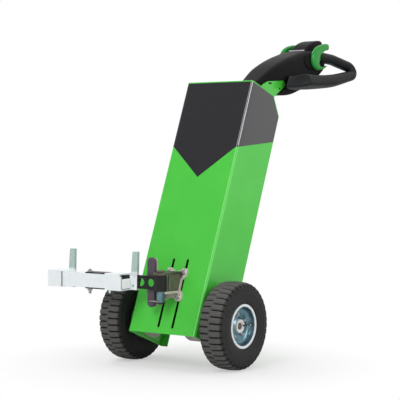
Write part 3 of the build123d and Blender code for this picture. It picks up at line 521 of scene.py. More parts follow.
def carve(piece, shape):
    """Cut a shape out of a piece, for good."""
    tool = solid_of("cutter", shape)
    clean(tool.data)
    cut = piece.modifiers.new("cut", "BOOLEAN")
    cut.operation = "DIFFERENCE"
    cut.solver = "EXACT"
    cut.object = tool
    apply_modifiers(piece)
    bpy.data.objects.remove(tool)


print("ways:", make.__name__, trim.__name__, soften.__name__, carve.__name__)

# %% [markdown]
# ## Camera
# The picture was fitted to the wheels and the housing's corners: a long lens from a little
# above knee height, about four metres away and 36 degrees round to the right.

# %% Camera
camera_data = bpy.data.cameras.new("camera")
camera_data.lens = 124.14
camera_data.sensor_width = 36
camera = show("camera", camera_data)
camera.location = (2.471, -3.320, 0.6257)
camera.rotation_euler = (math.radians(88.188), 0, math.radians(35.933))
bpy.context.scene.camera = camera
print("camera distance:", round(camera.location.length, 2))

# %% [markdown]
# ## Folded sheets and solid parts with the right shape
# Folded sheet never has a knife edge: the press leaves a small radius and the powder rounds
# it further, and that is what catches the light along every corner. The solids have the right
# shape, so fine copies of them with a small rounding are all that is needed: less on thin
# sheet, more on tubes, castings and plastic blocks.

# %% Fine copies with rounded edges
ROUNDINGS = {
    0.6: (
        "front_panel", "side_panel_left", "side_panel_right", "top_panel", "back_cover",
        "clamp_bolt", "caster_bolt",
    ),
    0.8: (
        "rear_arm", "head_bracket", "axle_cradle", "battery_tray", "bearing_flange_left",
        "bearing_flange_right", "caster_plate", "caster_fork",
    ),
    1.1: ("sliding_jaw", "fixed_jaw"),
    1.5: ("drive_axle",),
    3.0: ("battery_block", "motor_block"),
}
for bevel, nodes in ROUNDINGS.items():
    for node in nodes:
        soften(node, bevel)
print("fine copies:", sum(len(nodes) for nodes in ROUNDINGS.values()))

# %% [markdown]
# ## Film round the corners
# The film is one wrapped skin on the real machine: it runs round the bend of the front corners.
# A thin pale strip along the middle of the bend is a painted highlight. A flat sheet over each face would
# leave the bend bare, so each film is skinned column by column round it, with its lower and upper
# edge given at every column.

# %% The film's columns
BEND_R = 8.0
FILM_OUT, FILM_IN = 0.3, -0.2
FILM_TOP = 809.0
FRONT_H = 813.0
EDGE_LOW, TIP_LOW, BACK_LOW = 593.0, 495.0, 681.0
FLAT_HALF = HALF_W - BEND_R


def on_skin(turn, side, flat=0.0):
    """Across, depth and outward direction on the bend, turned in degrees from the front."""
    a = math.radians(turn)
    across = FLAT_HALF + BEND_R * math.sin(a)
    depth = BEND_R - BEND_R * math.cos(a) + flat
    return side * across, depth, (side * math.sin(a), -math.cos(a))


def film_shape(columns):
    """A thin closed skin from columns of (across, depth, outward, low, high)."""
    rings = []
    for across, depth, out, low, high in columns:
        section = ((low, FILM_OUT), (high, FILM_OUT), (high, FILM_IN), (low, FILM_IN))
        rings.append([on_body(across + out[0] * by, h, depth + out[1] * by) for h, by in section])
    return Shape().skin(rings)


def top_edge(depth):
    """Height of the film's upper edge at a depth, under the top sheet."""
    if depth < CREST_D:
        return FRONT_H + (CREST_H - FRONT_H) * depth / CREST_D - 4.0
    return CREST_H + (HEEL_H - CREST_H) / (BODY_D - CREST_D) * (depth - CREST_D) - 5.0


print("film over the crest ends at", top_edge(CREST_D))

# %% Front film, with its pointed lower edge
FRONT_TURNS = (41, 30, 20, 10, 0)
front_columns = [on_skin(turn, -1) for turn in FRONT_TURNS] + [(0.0, 0.0, (0, -1))]
front_columns += [on_skin(turn, 1) for turn in reversed(FRONT_TURNS)]
columns = []
for across, depth, out in front_columns:
    low = TIP_LOW + (EDGE_LOW - TIP_LOW) * min(1.0, abs(across) / FLAT_HALF)
    columns.append((across, depth, out, low, FILM_TOP))
make("front_film_wrapped", film_shape(columns), "front_film", smooth=50)
print("front film columns:", len(columns))

# %% Side films and their painted highlights
SIDE_TURNS = [(turn, 0) for turn in (50, 60, 70, 80, 90)]
SIDE_TURNS += [(90, flat) for flat in (20, 60, 115, 128, 148, 167)]
for name, side in SIDES:
    columns = []
    for turn, flat in SIDE_TURNS:
        across, depth, out = on_skin(turn, side, flat)
        low = EDGE_LOW + (BACK_LOW - EDGE_LOW) * depth / BODY_D
        columns.append((across, depth, out, low, top_edge(depth)))
    node = f"side_film_{name}"
    make(f"{node}_wrapped", film_shape(columns), node, smooth=50)
    # Painted highlight: a pale strip along the middle of each bend.
    bend_highlight = film_shape([(*on_skin(turn, side), EDGE_LOW + 8, FILM_TOP) for turn in (40, 47, 55)])
    trim(f"film_bend_painted_highlight_{name}", bend_highlight, node, smooth=50, finish=pale_seal)
print("side film columns:", len(columns))

# %% [markdown]
# ## Tyres
# The tyres have block tread: two rows of forty blocks each, half a block out of step, with
# grooves straight across that run out over the shoulder and show as teeth in the outline. A
# displacement texture would blur their walls. A fine grid round the wheel is the clearest way:
# its columns fall on the grooves' edges, so the walls stay steep, and a rule lowers the grid
# where a groove is.

# %% The tyre's profile and its grooves
WHEEL_X = 187.0
PITCHES = 40
# across from the middle and radius, from the middle of the tread to the bead
HALF_PROFILE = (
    (0, 130), (2.6, 130), (3.4, 130), (8, 129.9), (16, 129.5), (24, 128.7), (30, 127.6),
    (32.5, 126.6), (34.3, 124.8), (36, 122.3), (37.6, 119.8), (39, 117.4), (39.8, 115.4),
    (40.6, 112), (41.1, 108), (41.5, 104.4), (41.9, 101.4), (42.6, 100.2), (42.7, 98.2),
    (42.6, 96.2), (41.9, 95.2), (41.9, 90), (41.5, 84), (40.4, 78), (38.6, 72), (36.4, 67.6),
    (34.4, 65.8), (34, 64), (34, 61.8),
)
# places of the grid's columns within one pitch
COLUMN_SHARES = (0, 0.025, 0.11, 0.195, 0.22, 0.36, 0.5, 0.525, 0.61, 0.695, 0.72, 0.86)
GROOVE_FROM, GROOVE_TO, BLOCK_FROM = 0.02, 0.2, 0.22
GROOVE_DEEP, CENTRE_RIB, SHOULDER_END = 8.0, 3.0, 114.0


def lowering(across, radius, place):
    """How far a point of the tyre lies under its profile, at a place within a pitch."""
    if GROOVE_FROM <= place <= GROOVE_TO:
        if across < CENTRE_RIB or radius < SHOULDER_END:
            return 0.0
        return min(GROOVE_DEEP, (radius - SHOULDER_END + 1) * 0.75)
    crown = (2 * (place - BLOCK_FROM) / (1 - BLOCK_FROM) - 1) ** 2
    return 0.9 * crown if radius > 120 else 0.0


print("groove depth at the shoulder:", round(lowering(34.3, 124.8, 0.1), 1), "mm")


# %% Two tyres
def tyre_rings(side):
    """The whole tyre as rings, one for each column of the grid round the wheel."""
    profile = [(-a, r) for a, r in reversed(HALF_PROFILE)] + list(HALF_PROFILE[1:])
    rings = []
    for pitch in range(PITCHES):
        for number, share in enumerate(COLUMN_SHARES):
            angle = math.tau * (pitch + share) / PITCHES
            ring = []
            for across, radius in profile:
                row = 1 if across >= 0 else -1
                deep = lowering(abs(across), radius, (share + (0.0 if row > 0 else 0.5)) % 1.0)
                rib = 0.35 if 103.0 < radius < 113.0 and number % 2 else 0.0
                undercut = max(0.0, deep - 6.0) * 0.3 if radius < 127 else 0.0
                out, low = across - row * (rib + undercut), radius - deep
                ring.append(at(
                    side * (WHEEL_X + out), low * math.cos(angle), AXLE_Z + low * math.sin(angle)
                ))
            rings.append(ring)
    return rings


for name, side in SIDES:
    tyre = Shape().skin(tyre_rings(side), loop=True)
    make(f"tyre_{name}_blocks", tyre, f"tyre_{name}", smooth=28)
print("tyre faces:", len(tyre.faces))

# %% [markdown]
# ## Rims
# The rims are pressed zinc-plated steel: a rolled lip that stands bright against the rubber,
# a deep dish, and a disc with five nuts round a white hub. They are round, so their profiles
# are turned. Each profile is a closed loop, because the sheet has two sides.

# %% Rims' lips and dishes
# along the axle from the middle of the wheel, and radius
LIP_PROFILE = (
    (-35.4, 59.4), (-37, 60.6), (-37.6, 63), (-36.4, 65.2), (-34.6, 65.4), (-33.8, 63), (-33.4, 61.4),
    (33.4, 61.4), (33.8, 63), (34.6, 65.4), (36.4, 65.2), (37.6, 63.2), (37.3, 60.4), (36.2, 58),
    (34.4, 57.6), (33, 58.4), (32, 59.9), (-32, 59.9),
)
DISC_PROFILE = (
    (34.3, 57.7), (24, 56), (17.5, 53.2), (14.6, 49.6), (13.4, 46), (13.5, 29), (14.6, 25.4), (17, 22.6),
    (18.5, 20.2), (15, 20.1), (10, 20.1), (9.6, 24), (9.5, 46), (11.5, 53), (16, 57.5), (22, 59.6),
    (33.5, 60.4),
)
HUB_PROFILE = (
    (-41, 10.2), (-41, 19), (-40, 20), (23, 20), (24.6, 19.2), (25, 18), (24.8, 15.5), (21, 14.6),
    (20.6, 10.2),
)
wheels = [(name, at(side * WHEEL_X, 0, AXLE_Z), Vector((side, 0, 0))) for name, side in SIDES]
for name, middle, outward in wheels:
    for piece, profile, steps, node, finish in (
        ("rim_{}_lip", LIP_PROFILE, 96, "rim_{}", rim_zinc),
        ("rim_{}_disc", DISC_PROFILE, 96, "rim_{}", blue_zinc),
        ("hub_{}_ring", HUB_PROFILE, 64, "hub_{}", enamel),
    ):
        ring = Shape().turn(profile, middle, outward, steps, loop=True)
        make(piece.format(name), ring, node.format(name), smooth=40, finish=finish)
print("points of a lip's profile:", len(LIP_PROFILE))

# %% Wheel nuts, valve, axle end and grease hole
NUTS, NUT_CIRCLE, NUT_SEAT = 5, 35, 13.5
VALVE = [(4, 2.4), (14, 2.4), (15, 3.4), (22, 3.4), (23, 2.6)]
AXLE_END = [(18, 9.9), (21.6, 9.9), (22.4, 9.0), (22.4, 2.6), (20.5, 2.2), (19, 0.4)]
GREASE_HOLE = [(22, 2.6), (25.3, 2.6), (25.4, 2.2), (24.9, 0.5)]
for name, middle, outward in wheels:
    nuts = Shape()
    for i in range(NUTS):
        angle = math.tau * (i + 0.3) / NUTS
        spoke = at(0, NUT_CIRCLE * math.cos(angle), NUT_CIRCLE * math.sin(angle))
        nuts.hex_bolt(middle + outward * NUT_SEAT * MM + spoke, outward, 6.0)
    nuts.turn(VALVE, middle + at(0, 44.5, 0) + outward * 8 * MM, outward, 14)
    trim(f"rim_{name}_nuts", nuts, f"rim_{name}", smooth=30, finish=turned)
    cap = Shape().turn(AXLE_END, middle, outward, 32)
    trim(f"axle_{name}_end", cap, f"stub_axle_{name}", smooth=30, finish=browned)
    # Painted shade: the grease hole is a dark disc set in the hub.
    hole = Shape().turn(GREASE_HOLE, middle + at(0, 16.5, 0), outward, 16)
    trim(f"hub_{name}_grease_hole", hole, f"hub_{name}", smooth=30, finish=black)
print("nuts on each wheel:", NUTS)

# %% [markdown]
# ## Steering head
# The head is a moulded cover: broad and crowned over the bracket, and narrow at the nose. A
# subdivided cage could make it, but nine sections are easier to check against the
# picture. Between them it has to flow, so they are eased into rings with a smooth curve
# through the numbers. The bracket's cheeks lie in two pockets in its flanks.

# %% Sections of the cover, eased
# back from the crest, underside and top above it, half width, top and lower corner radius
COVER_SECTIONS = (
    (34, 30, 41, 30, 5, 3),
    (66, 28, 60, 38, 12, 4),
    (116, 17, 90, 49, 20, 5),
    (160, 7, 111, 54, 26, 8),
    (205, 10, 128, 57, 28, 9),
    (250, 21, 142, 58, 28, 10),
    (335, 50, 163, 58, 28, 12),
    (410, 92, 161, 58, 24, 14),
    (430, 112, 143, 52, 12, 12),
)
COVER_HALF = 58.0


def ease(rows, share):
    """A smooth curve through rows of numbers, at a share of the whole way along."""
    place = share * (len(rows) - 1)
    i = min(int(place), len(rows) - 2)
    t = place - i
    a, b = rows[max(i - 1, 0)], rows[i]
    c, d = rows[i + 1], rows[min(i + 2, len(rows) - 1)]
    return [
        0.5 * (2 * q + (r - p) * t + (2 * p - 5 * q + 4 * r - s) * t * t + (3 * q - p - 3 * r + s) * t ** 3)
        for p, q, r, s in zip(a, b, c, d)
    ]


print("half way along the cover:", [round(v, 1) for v in ease(COVER_SECTIONS, 0.5)])


# %% The moulded cover
def arc(centre, radius, first, last, steps):
    """Points on an arc between two angles in degrees."""
    angles = [math.radians(first + (last - first) * k / steps) for k in range(steps + 1)]
    return [(centre[0] + radius * math.cos(a), centre[1] + radius * math.sin(a)) for a in angles]


def rounded_box(half, low, top, top_r, low_r, steps=7):
    """Points round a box of (across, up) whose four corners are arcs."""
    return (
        arc((half - top_r, top - top_r), top_r, 0, 90, steps)
        + arc((-half + top_r, top - top_r), top_r, 90, 180, steps)
        + arc((-half + low_r, low + low_r), low_r, 180, 270, steps)
        + arc((half - low_r, low + low_r), low_r, 270, 360, steps)
    )


COVER_STEPS = 34
rings = []
for i in range(COVER_STEPS + 1):
    back, low, top, half, top_r, low_r = ease(COVER_SECTIONS, i / COVER_STEPS)
    outline = rounded_box(min(half, COVER_HALF), low, top, top_r, low_r)
    rings.append([from_crest(a, back, b) for a, b in outline])
cover = make("head_cover_moulded", Shape().skin(rings), "head_cover", smooth=50)
print("cover faces:", len(cover.data.polygons))

# %% [markdown]
# The pockets follow the bracket's cheeks with a little air round them. Modelling them into the
# sections would spoil the flow, so two prisms of the cheek's outline are cut out afterwards.

# %% Pockets for the bracket's cheeks
heel = (on_body(0, HEEL_H, BODY_D) - CREST) / MM
slope = heel.normalized()
foot_top, foot_low = slope * 5, heel - slope * 5
CHEEK = [
    (foot_top.y, foot_top.z), (60, 39), (86, 49), (179, 56), (194, 39), (137, 9), (foot_low.y, foot_low.z),
]
POCKET_AIR, POCKET_X = 1.5, (43, 73)


def grow(outline, by):
    """Move the sides of an outline that runs clockwise outward by a distance."""
    grown = []
    for i, corner in enumerate(outline):
        a, b, c = Vector(outline[i - 1]), Vector(corner), Vector(outline[(i + 1) % len(outline)])
        u, v = (b - a).normalized(), (c - b).normalized()
        n1, n2 = Vector((-u.y, u.x)), Vector((-v.y, v.x))
        grown.append(b + (n1 + n2) * by / max(0.3, 1 + n1.dot(n2)))
    return [(p.x, p.y) for p in grown]


for side in (-1, 1):
    pocket = [[from_crest(side * x, a, b) for a, b in grow(CHEEK, POCKET_AIR)] for x in POCKET_X]
    carve(cover, Shape().skin(pocket))
cover.data.set_sharp_from_angle(angle=math.radians(45))
print("cover faces after carving:", len(cover.data.polygons))

# %% [markdown]
# ## Control pod
# The pod on top holds the speed electronics. It is a separate moulding with generous edges,
# so its side outline is drawn once, skinned across its width, and all its edges are rounded.
# A pale strip along the joint in front is a painted highlight on that edge.

# %% Control pod
POD_HALF = 34
pod_outline = (
    [(333, 132), (333, 152)]
    + [(342, 164), (354, 175.5), (369, 185), (387, 193), (406, 199), (424, 202.4)]
    + arc((434, 185), 18, 90, 0, 8)
    + [(452, 164), (407, 132)]
)
pod = Shape().skin([[from_crest(x, a, b) for a, b in pod_outline] for x in (-POD_HALF, POD_HALF)])
make("control_pod_moulded", pod, "control_pod", bevel=9.0, segments=6, smooth=60)
# Painted highlight: a pale strip along the pod's front base edge.
front_highlight_outline = [(-30, 0), (-27, -2.2), (27, -2.2), (30, 0), (29, 3), (-29, 3)]
front_highlight = Shape().skin([[from_crest(a, 332 + b, up) for a, b in front_highlight_outline] for up in (162.6, 165.6)])
trim("pod_front_seal", front_highlight, "control_pod", bevel=0.5, smooth=40, finish=pale_seal)
print("points of the pod's outline:", len(pod_outline))

# %% [markdown]
# ## Grips
# Each grip is a closed loop: a slim upper arm from the lever, a tight bend at the back and a
# fuller lower arm that runs forward and ends against the head's flank. A curve with a round
# bevel would keep one section, and the arm changes its section, so rings follow its middle
# line. The lower arm has fine ribs for wet hands, a few tenths of a millimetre high.

# %% The grip's middle line
# along the grip and above its middle
GRIP_ROUTE = ((-30, 53.5), (45, 47), (134, 22), (138, -6), (96, -16))
GRIP_BENDS = (70, 19, 17)
UPPER_R, RING_GAP = 18.0, 4.0
# along, above, half width and half height
ARM_SECTIONS = (
    (96, -16, 18, 18), (0, -35, 20, 20.5), (-100, -43.5, 22.5, 20.5), (-175, -44, 26.5, 22),
    (-208, -42.5, 27, 22),
)
ARM_STEPS = 150


def bent_line(corners, bends, gap):
    """A line with its corners bent to arcs, as points about a gap apart."""
    points = [Vector(corners[0])]
    for i, bend in enumerate(bends, 1):
        before, here, after = (Vector(corners[i + k]) for k in (-1, 0, 1))
        u, v = (before - here).normalized(), (after - here).normalized()
        half = u.angle(v) / 2
        start, end = (here + way * bend / math.tan(half) for way in (u, v))
        middle = here + (u + v).normalized() * bend / math.sin(half)
        side = start - middle
        turn = math.copysign(math.pi - 2 * half, side.cross(end - middle))
        steps = max(3, int(bend * abs(turn) / gap))
        for k in range(steps + 1):
            c, s = math.cos(turn * k / steps), math.sin(turn * k / steps)
            points.append(middle + Vector((side.x * c - side.y * s, side.x * s + side.y * c)))
    points.append(Vector(corners[-1]))
    filled = [points[0]]
    for point in points[1:]:
        first = filled[-1]
        pieces = max(1, round((point - first).length / gap))
        filled += [first + (point - first) * k / pieces for k in range(1, pieces + 1)]
    return filled


stations = [(p.x, p.y, UPPER_R, UPPER_R) for p in bent_line(GRIP_ROUTE, GRIP_BENDS, RING_GAP)[:-1]]
stations += [tuple(ease(ARM_SECTIONS, k / ARM_STEPS)) for k in range(ARM_STEPS + 1)]
print("rings along a grip:", len(stations))


# %% Rings along the grip
def smooth_step(t):
    """Ease from 0 to 1."""
    t = min(1.0, max(0.0, t))
    return t * t * (3 - 2 * t)


def soft_oval(steps, power):
    """Points round an oval of size one; a lower power makes it squarer."""
    for k in range(steps):
        angle = math.tau * k / steps
        yield tuple(math.copysign(abs(v) ** power, v) for v in (math.cos(angle), math.sin(angle)))


def grip_shape(side):
    """Rings in the grip's own plane, which toes out and splays; their front end is cut aslant."""
    toe, splay = math.radians(7), math.radians(24)
    along = Vector((side * math.sin(toe), math.cos(toe), 0))
    rise = Vector((-side * math.sin(splay), 0, math.cos(splay)))
    across = along.cross(rise).normalized()
    up = across.cross(along)
    outward = across * (1 if across.x * side > 0 else -1)
    origin = from_crest(side * 83.5, 396.2, 93.9)
    rings = []
    last = len(stations) - 1
    for i, (s, t, wide, high) in enumerate(stations):
        a, b = stations[max(i - 1, 0)], stations[min(i + 1, last)]
        run = Vector((b[0] - a[0], b[1] - a[1])).normalized()
        normal = along * -run.y + up * run.x
        middle = origin + (along * s + up * t) * MM
        ribbed = max(0.0, min(1.0, (i - 40) / 8, (150 - i) / 8)) if i % 3 == 0 and s < 90 else 0.0
        scale = {0: 0.55, 1: 1 / 3 + 0.55, last: 0.93}.get(i, 1.0)
        square = min(1.0, max(0.0, (i - 60) / 60))
        power = 1 - 0.3 * square - 0.24 * smooth_step((-40 - s) / 100)
        slim = 0.56 * wide * smooth_step((-140 - s) / 68)
        aslant = smooth_step((-165 - s) / 43)
        ring = []
        for c, d in soft_oval(40, power):
            ridge = 0.45 * ribbed * max(0.0, -d)
            point = across * c * ((wide - slim) * scale + ridge) + normal * d * (high * scale + ridge)
            lean_in, rise_out = point.dot(outward) / (wide - slim), point.dot(up) / high
            forward = along * (18 * rise_out - 20 * lean_in) * aslant
            ring.append(middle + (point + forward - outward * slim) * MM)
        rings.append(ring)
    return Shape().skin(rings)


for name, side in SIDES:
    grip = make(f"grip_{name}_moulded", grip_shape(side), f"grip_{name}", smooth=60, finish=grip_skin)
print("grip faces:", len(grip.data.polygons))

# %% [markdown]
# ## Thumb levers
# The green levers are crescents round the front end of each grip with a long prong above.
# They are solid, glossy and soft-edged, and no outline pushed out flat would be as round, so
# rings follow their middle line. Each stands in a shallow boss on the head's flank.

# %% The levers
# back from the crest, above it, half height and half thickness
LEVER_LINE = (
    (429, 179, 6, 4), (422, 178.5, 10.5, 7), (406, 177, 11.6, 8), (389, 172, 13.5, 8), (371, 163, 18, 8),
    (356, 151, 22.5, 8), (348, 138, 25, 8), (347.5, 125, 23.5, 8), (353, 114, 17.5, 8), (362, 107.5, 11, 7.6),
    (374, 105.5, 6.5, 7), (388, 106.5, 4.4, 6.6), (402, 110, 3.2, 6.2), (413, 113.5, 1.6, 5),
)
LEVER_X, LEVER_STEPS = 66, 56
lever_rows = [ease(LEVER_LINE, k / LEVER_STEPS) for k in range(LEVER_STEPS + 1)]


def lever_shape(side, set_back):
    """A rounded crescent: rings square to the middle line."""
    rings = []
    for i, (back, up, high, thick) in enumerate(lever_rows):
        a, b = lever_rows[max(i - 1, 0)], lever_rows[min(i + 1, LEVER_STEPS)]
        run = Vector((b[0] - a[0], b[1] - a[1])).normalized()
        back, up = back + set_back, up + set_back / 4
        rings.append([
            from_crest(side * (LEVER_X + c * thick), back - run.y * d * high, up + run.x * d * high)
            for c, d in soft_oval(24, 0.7)
        ])
    return Shape().skin(rings)


for name, side, set_back in (("right", 1, 0), ("left", -1, 9)):
    node = f"thumb_lever_{name}"
    lever = make(f"{node}_moulded", lever_shape(side, set_back), node, smooth=60)
print("lever faces:", len(lever.data.polygons))

# %% Bosses of the levers
BOSS_STEPS = ((57.0, 1.0), (58.6, 1.0), (60.0, 0.985), (61.0, 0.955), (61.5, 0.9), (61.7, 0.6))
BOSS_BACK, BOSS_UP, BOSS_LONG, BOSS_HIGH = 345, 126, 55, 29
for name, side in SIDES:
    rings = []
    for out, scale in BOSS_STEPS:
        rings.append([
            from_crest(side * out, BOSS_BACK + c * BOSS_LONG * scale, BOSS_UP + d * BOSS_HIGH * scale)
            for c, d in soft_oval(56, 0.85)
        ])
    boss = trim(f"lever_boss_{name}", Shape().skin(rings), "head_cover", smooth=50)
print("boss faces:", len(boss.data.polygons))

# %% [markdown]
# Each green cheek of the bracket has a short slot and a screw, both dark from where we stand.
# Holes would show the green inside, so thin dark shapes stand a millimetre proud as painted shade.

# %% Slot and screw in the cheeks
CHEEK_X = 46.6
slot = arc((90, 43.6), 2.4, 90, 270, 8) + arc((104, 43.6), 2.4, -90, 90, 8)
for name, side in SIDES:
    marks = Shape().skin([[from_crest(side * x, a, b) for a, b in slot] for x in (CHEEK_X, CHEEK_X + 0.95)])
    screw = [(0, 3.2), (1.4, 3.2), (1.9, 2.2), (1.5, 1.0)]
    marks.turn(screw, from_crest(side * CHEEK_X, 153.8, 28.6), (side, 0, 0), 18)
    trim(f"cheek_marks_{name}", marks, "head_bracket", smooth=30, finish=black)
print("cheek faces:", len(marks.faces))

# %% [markdown]
# ## Arm and bracket of the coupling
# The arm is a flat bar with two holes, relieved behind so that the light comes through them
# as full circles. The bracket is a plate with four lugs and hollow sides, and its lower ear
# narrows to the pin. Both solids are right apart from that, so fine copies are carved.

# %% Arm with its holes
ARM_Z, BAR_HOLES = 254.0, (-58.7, -23.0)
PIN = at(10.75, -122, 0)
bar = soften("coupling_bar", 1.0)
for x in BAR_HOLES:
    carve(bar, Shape().turn([(-12, 11.6), (12, 11.6)], at(x, -122, ARM_Z), (0, 1, 0), 40))
    carve(bar, Shape().turn([(-1.5, 17), (12, 17)], at(x - 4, -122, ARM_Z), (0, 1, 0), 40))
print("bar faces:", len(bar.data.polygons))

# %% Bracket with its lugs and narrow ear
hitch = soften("hitch_bracket", 0.8, finish=bracket)
waste = arc((0, 0), 11.6, 140, 360, 24) + [(24, 0), (24, -26), (-26, -26), (-26, 44), (-16, 34)]
carve(hitch, Shape().skin([[PIN + at(a, b, z) for a, b in waste] for z in (222.2, 229.75)]))
for height in (216.5, 86.5):
    carve(hitch, Shape().turn([(-1, 24), (6.6, 24)], on_body(PIN.x / MM, height), -BACK, 48))
print("hinge pin stands at", [round(v, 4) for v in PIN])

# %% [markdown]
# ## Clamp
# The clamp bolt squeezes the slotted tube; two dark strips along its top and bottom are painted shade in its
# slot. The open end of the sleeve has a square plug, made whiter as painted light, with a dark plate round it
# as painted shadow of the gap. All are small blocks, skinned between two levels, and their edges are rounded
# as those of cut plate are.

# %% Painted slot shade, bolt ends and end plug
CLAMP_Y, CLAMP_X, SLEEVE_END = -152.0, -235.0, -96.5
# Painted shade: dark strips along the tube's top and bottom.
tube_shade_strips = Shape()
strip = [(-238, -19), (-158, -19), (-158, 19), (-238, 19)]
for low in (21.3, -24.8):
    tube_shade_strips.skin([[at(a, CLAMP_Y + b, ARM_Z + z) for a, b in strip] for z in (low, low + 3.5)])
trim("glide_strips", tube_shade_strips, "clamp_bolt", bevel=0.6, finish=black_paint)
clamp = Shape()
clamp.hex_bolt(at(CLAMP_X, CLAMP_Y, ARM_Z + 24.7), (0, 0, 1), 7.0)
clamp.hex_bolt(at(CLAMP_X, CLAMP_Y, ARM_Z - 24.8), (0, 0, -1), 9.0)
clamp.turn([(0, 4.2), (8, 4.2), (9, 3.2)], at(CLAMP_X, CLAMP_Y, ARM_Z - 33), (0, 0, -1), 16)
trim("clamp_bolt_ends", clamp, "clamp_bolt", smooth=30, finish=turned)
# The plug's whiter zinc is painted light; the dark plate round it is painted shadow of the gap.
for name, (y0, y1, z0, z1), out, bevel, finish in (
    ("sleeve_end_plug", (-18, 17, -20, 9.5), 2.2, 0.8, end_white),
    ("sleeve_end_shadow_gap", (-19.5, 18.5, -21.5, 19.5), 0.8, 0.2, black_paint),
):
    plate = [(y0, z0), (y1, z0), (y1, z1), (y0, z1)]
    rings = [[at(SLEEVE_END + x, CLAMP_Y + y, ARM_Z + z) for y, z in plate] for x in (0, out)]
    trim(name, Shape().skin(rings), "fixed_jaw", bevel=bevel, finish=finish)
nipple = Shape()
nipple.turn([(0, 3.4), (-5, 3.4), (-5.6, 2.6), (-8.5, 2.6), (-9, 2)], at(-142, -171, 229.2), (0, 0, 1), 16)
trim("sleeve_grease_nipple", nipple, "fixed_jaw", smooth=30)
print("clamp faces:", len(clamp.faces))

# %% [markdown]
# A bead of weld runs along the foot of each post, and a dark seam down the collar. A weld is a
# row of small overlapping pools, so a rope whose radius swells and shrinks is turned.

# %% Welds
BEAD_STEPS = 6


def weld(start, end, radius, beads):
    """A wavy rope of small beads between two points."""
    run = end - start
    profile = []
    for k in range(beads * BEAD_STEPS + 1):
        swell = 0.8 + 0.2 * abs(math.sin(math.pi * k / BEAD_STEPS))
        profile.append((run.length / MM * k / (beads * BEAD_STEPS), radius * swell))
    return Shape().turn(profile, start, run, 10)


WELDS = (
    ("weld_near_post", (-99, -126.5, 279.5), (-76, -126.5, 279.5), 2.0, 9, "fixed_jaw", None),
    ("weld_far_post", (-344, -128.5, 277.2), (-327, -128.5, 279.2), 2.0, 7, "sliding_jaw", None),
    ("weld_collar", (-326.5, -176.5, 231), (-326.5, -176.5, 277), 1.3, 16, "sliding_jaw", black_paint),
)
for name, start, end, radius, beads, node, finish in WELDS:
    trim(name, weld(at(*start), at(*end), radius, beads), node, smooth=60, finish=finish)
print("welds:", len(WELDS))

# %% [markdown]
# ## Buffer pad
# The buffer is a thick rubber pad on a steel backing plate. Behind the arm the pad is cut
# away, so that the second hole of the arm shows the housing, as the first one does.

# %% Buffer pad and its backing
def stadium(half_w, half_h, shift):
    """An upright outline with round ends."""
    rise = half_h - half_w
    return arc((shift, rise), half_w, 0, 180, 12) + arc((shift, -rise), half_w, 180, 360, 12)


PAD_X, PAD_Y = -30.0, -118.0
for name, size, y0, y1, bevel, finish, build in (
    ("buffer_pad_rubber", (13.5, 74, 0), 0, 12, 2.4, grey_rubber, make),
    ("buffer_backing_plate", (12, 72, 4.6), 12.2, 15.7, 0.7, cast, trim),
):
    slab = [[at(PAD_X + a, PAD_Y + y, ARM_Z + b) for a, b in stadium(*size)] for y in (y0, y1)]
    piece = build(name, Shape().skin(slab), "buffer_pad", bevel=bevel, segments=3, finish=finish)
    carve(piece, Shape().turn([(-8, 17), (30, 17)], at(PAD_X - 3, PAD_Y, ARM_Z), (0, 1, 0), 40))
print("backing plate faces:", len(piece.data.polygons))

# %% [markdown]
# ## Yoke and hinge pin
# The yoke is closed on its right side by a web. The hinge pin has a flat head, a round keeper
# below with a dark washer, and a spring clip through its tip. The pin and its rings are turned,
# and the clip is a bent wire that turns with the arm.

# %% Yoke web and hinge pin
WEB = [(21.5, -103), (24.5, -106), (29, -106), (31, -103), (31, -42), (35, -50), (19.5, -50)]
web = Shape().skin([[at(a, b, z) for a, b in WEB] for z in (230, 278)])
trim("yoke_web", web, "hitch_bracket", bevel=0.8, finish=olive)
PIN_PROFILE = [
    (190, 6.4), (191.5, 8), (204, 8), (287, 8), (287, 12), (290.4, 12), (292, 10.5), (292.3, 4),
]
KEEPER = [(197.9, 8.2), (198.2, 11.2), (200, 12.2), (228.2, 12.2), (229.3, 11), (229.4, 8.2)]
WASHER = [(194.6, 8.1), (194.8, 11.4), (197.6, 11.4), (197.8, 8.1)]
make("hinge_pin_turned", Shape().turn(PIN_PROFILE, PIN, (0, 0, 1), 40), "hinge_pin", finish=olive)
keeper = Shape().turn(KEEPER, PIN, (0, 0, 1), 40, loop=True)
trim("hinge_pin_keeper", keeper, "hinge_pin", finish=blue_zinc)
washer = Shape().turn(WASHER, PIN, (0, 0, 1), 32, loop=True)
trim("hinge_pin_washer", washer, "hinge_pin", smooth=30, finish=black_paint)
print("pin, keeper and washer:", len(PIN_PROFILE), len(KEEPER), len(WASHER), "points")


# %% Spring clip
def wire(points, radius, steps=10):
    """A round wire along points, with its rings square to the way it runs."""
    rings = []
    side = Vector((0, 0, 1))
    for i, point in enumerate(points):
        run = (points[min(i + 1, len(points) - 1)] - points[max(i - 1, 0)]).normalized()
        side = (side - run * side.dot(run)).normalized()
        other = run.cross(side)
        angles = [math.tau * k / steps for k in range(steps)]
        rings.append([point + (side * math.cos(a) + other * math.sin(a)) * radius * MM for a in angles])
    return Shape().skin(rings)


clip = [(14, 0), (4, 0), (-14, 0), (-26, 0)] + arc((-30, -5.5), 5.5, 70, 290, 11)
clip += [(-20, -12), (-14, -13.6), (-6, -13.8), (0, -12.9), (7, -13.8), (12, -16)]
clip_wire = wire([PIN + at(a, b - 1.5, 200.5) for a, b in clip], 1.1)
trim("hinge_pin_clip", clip_wire, "hinge_pin", smooth=60, finish=turned, body="coupling_arm")
print("points of the clip:", len(clip))

# %% [markdown]
# ## Fasteners of the housing
# Four bolts hold the bracket's lugs on the slots of the front panel, and six screws the back
# cover. A dark sheet behind the slots is painted shade, so that they look black.

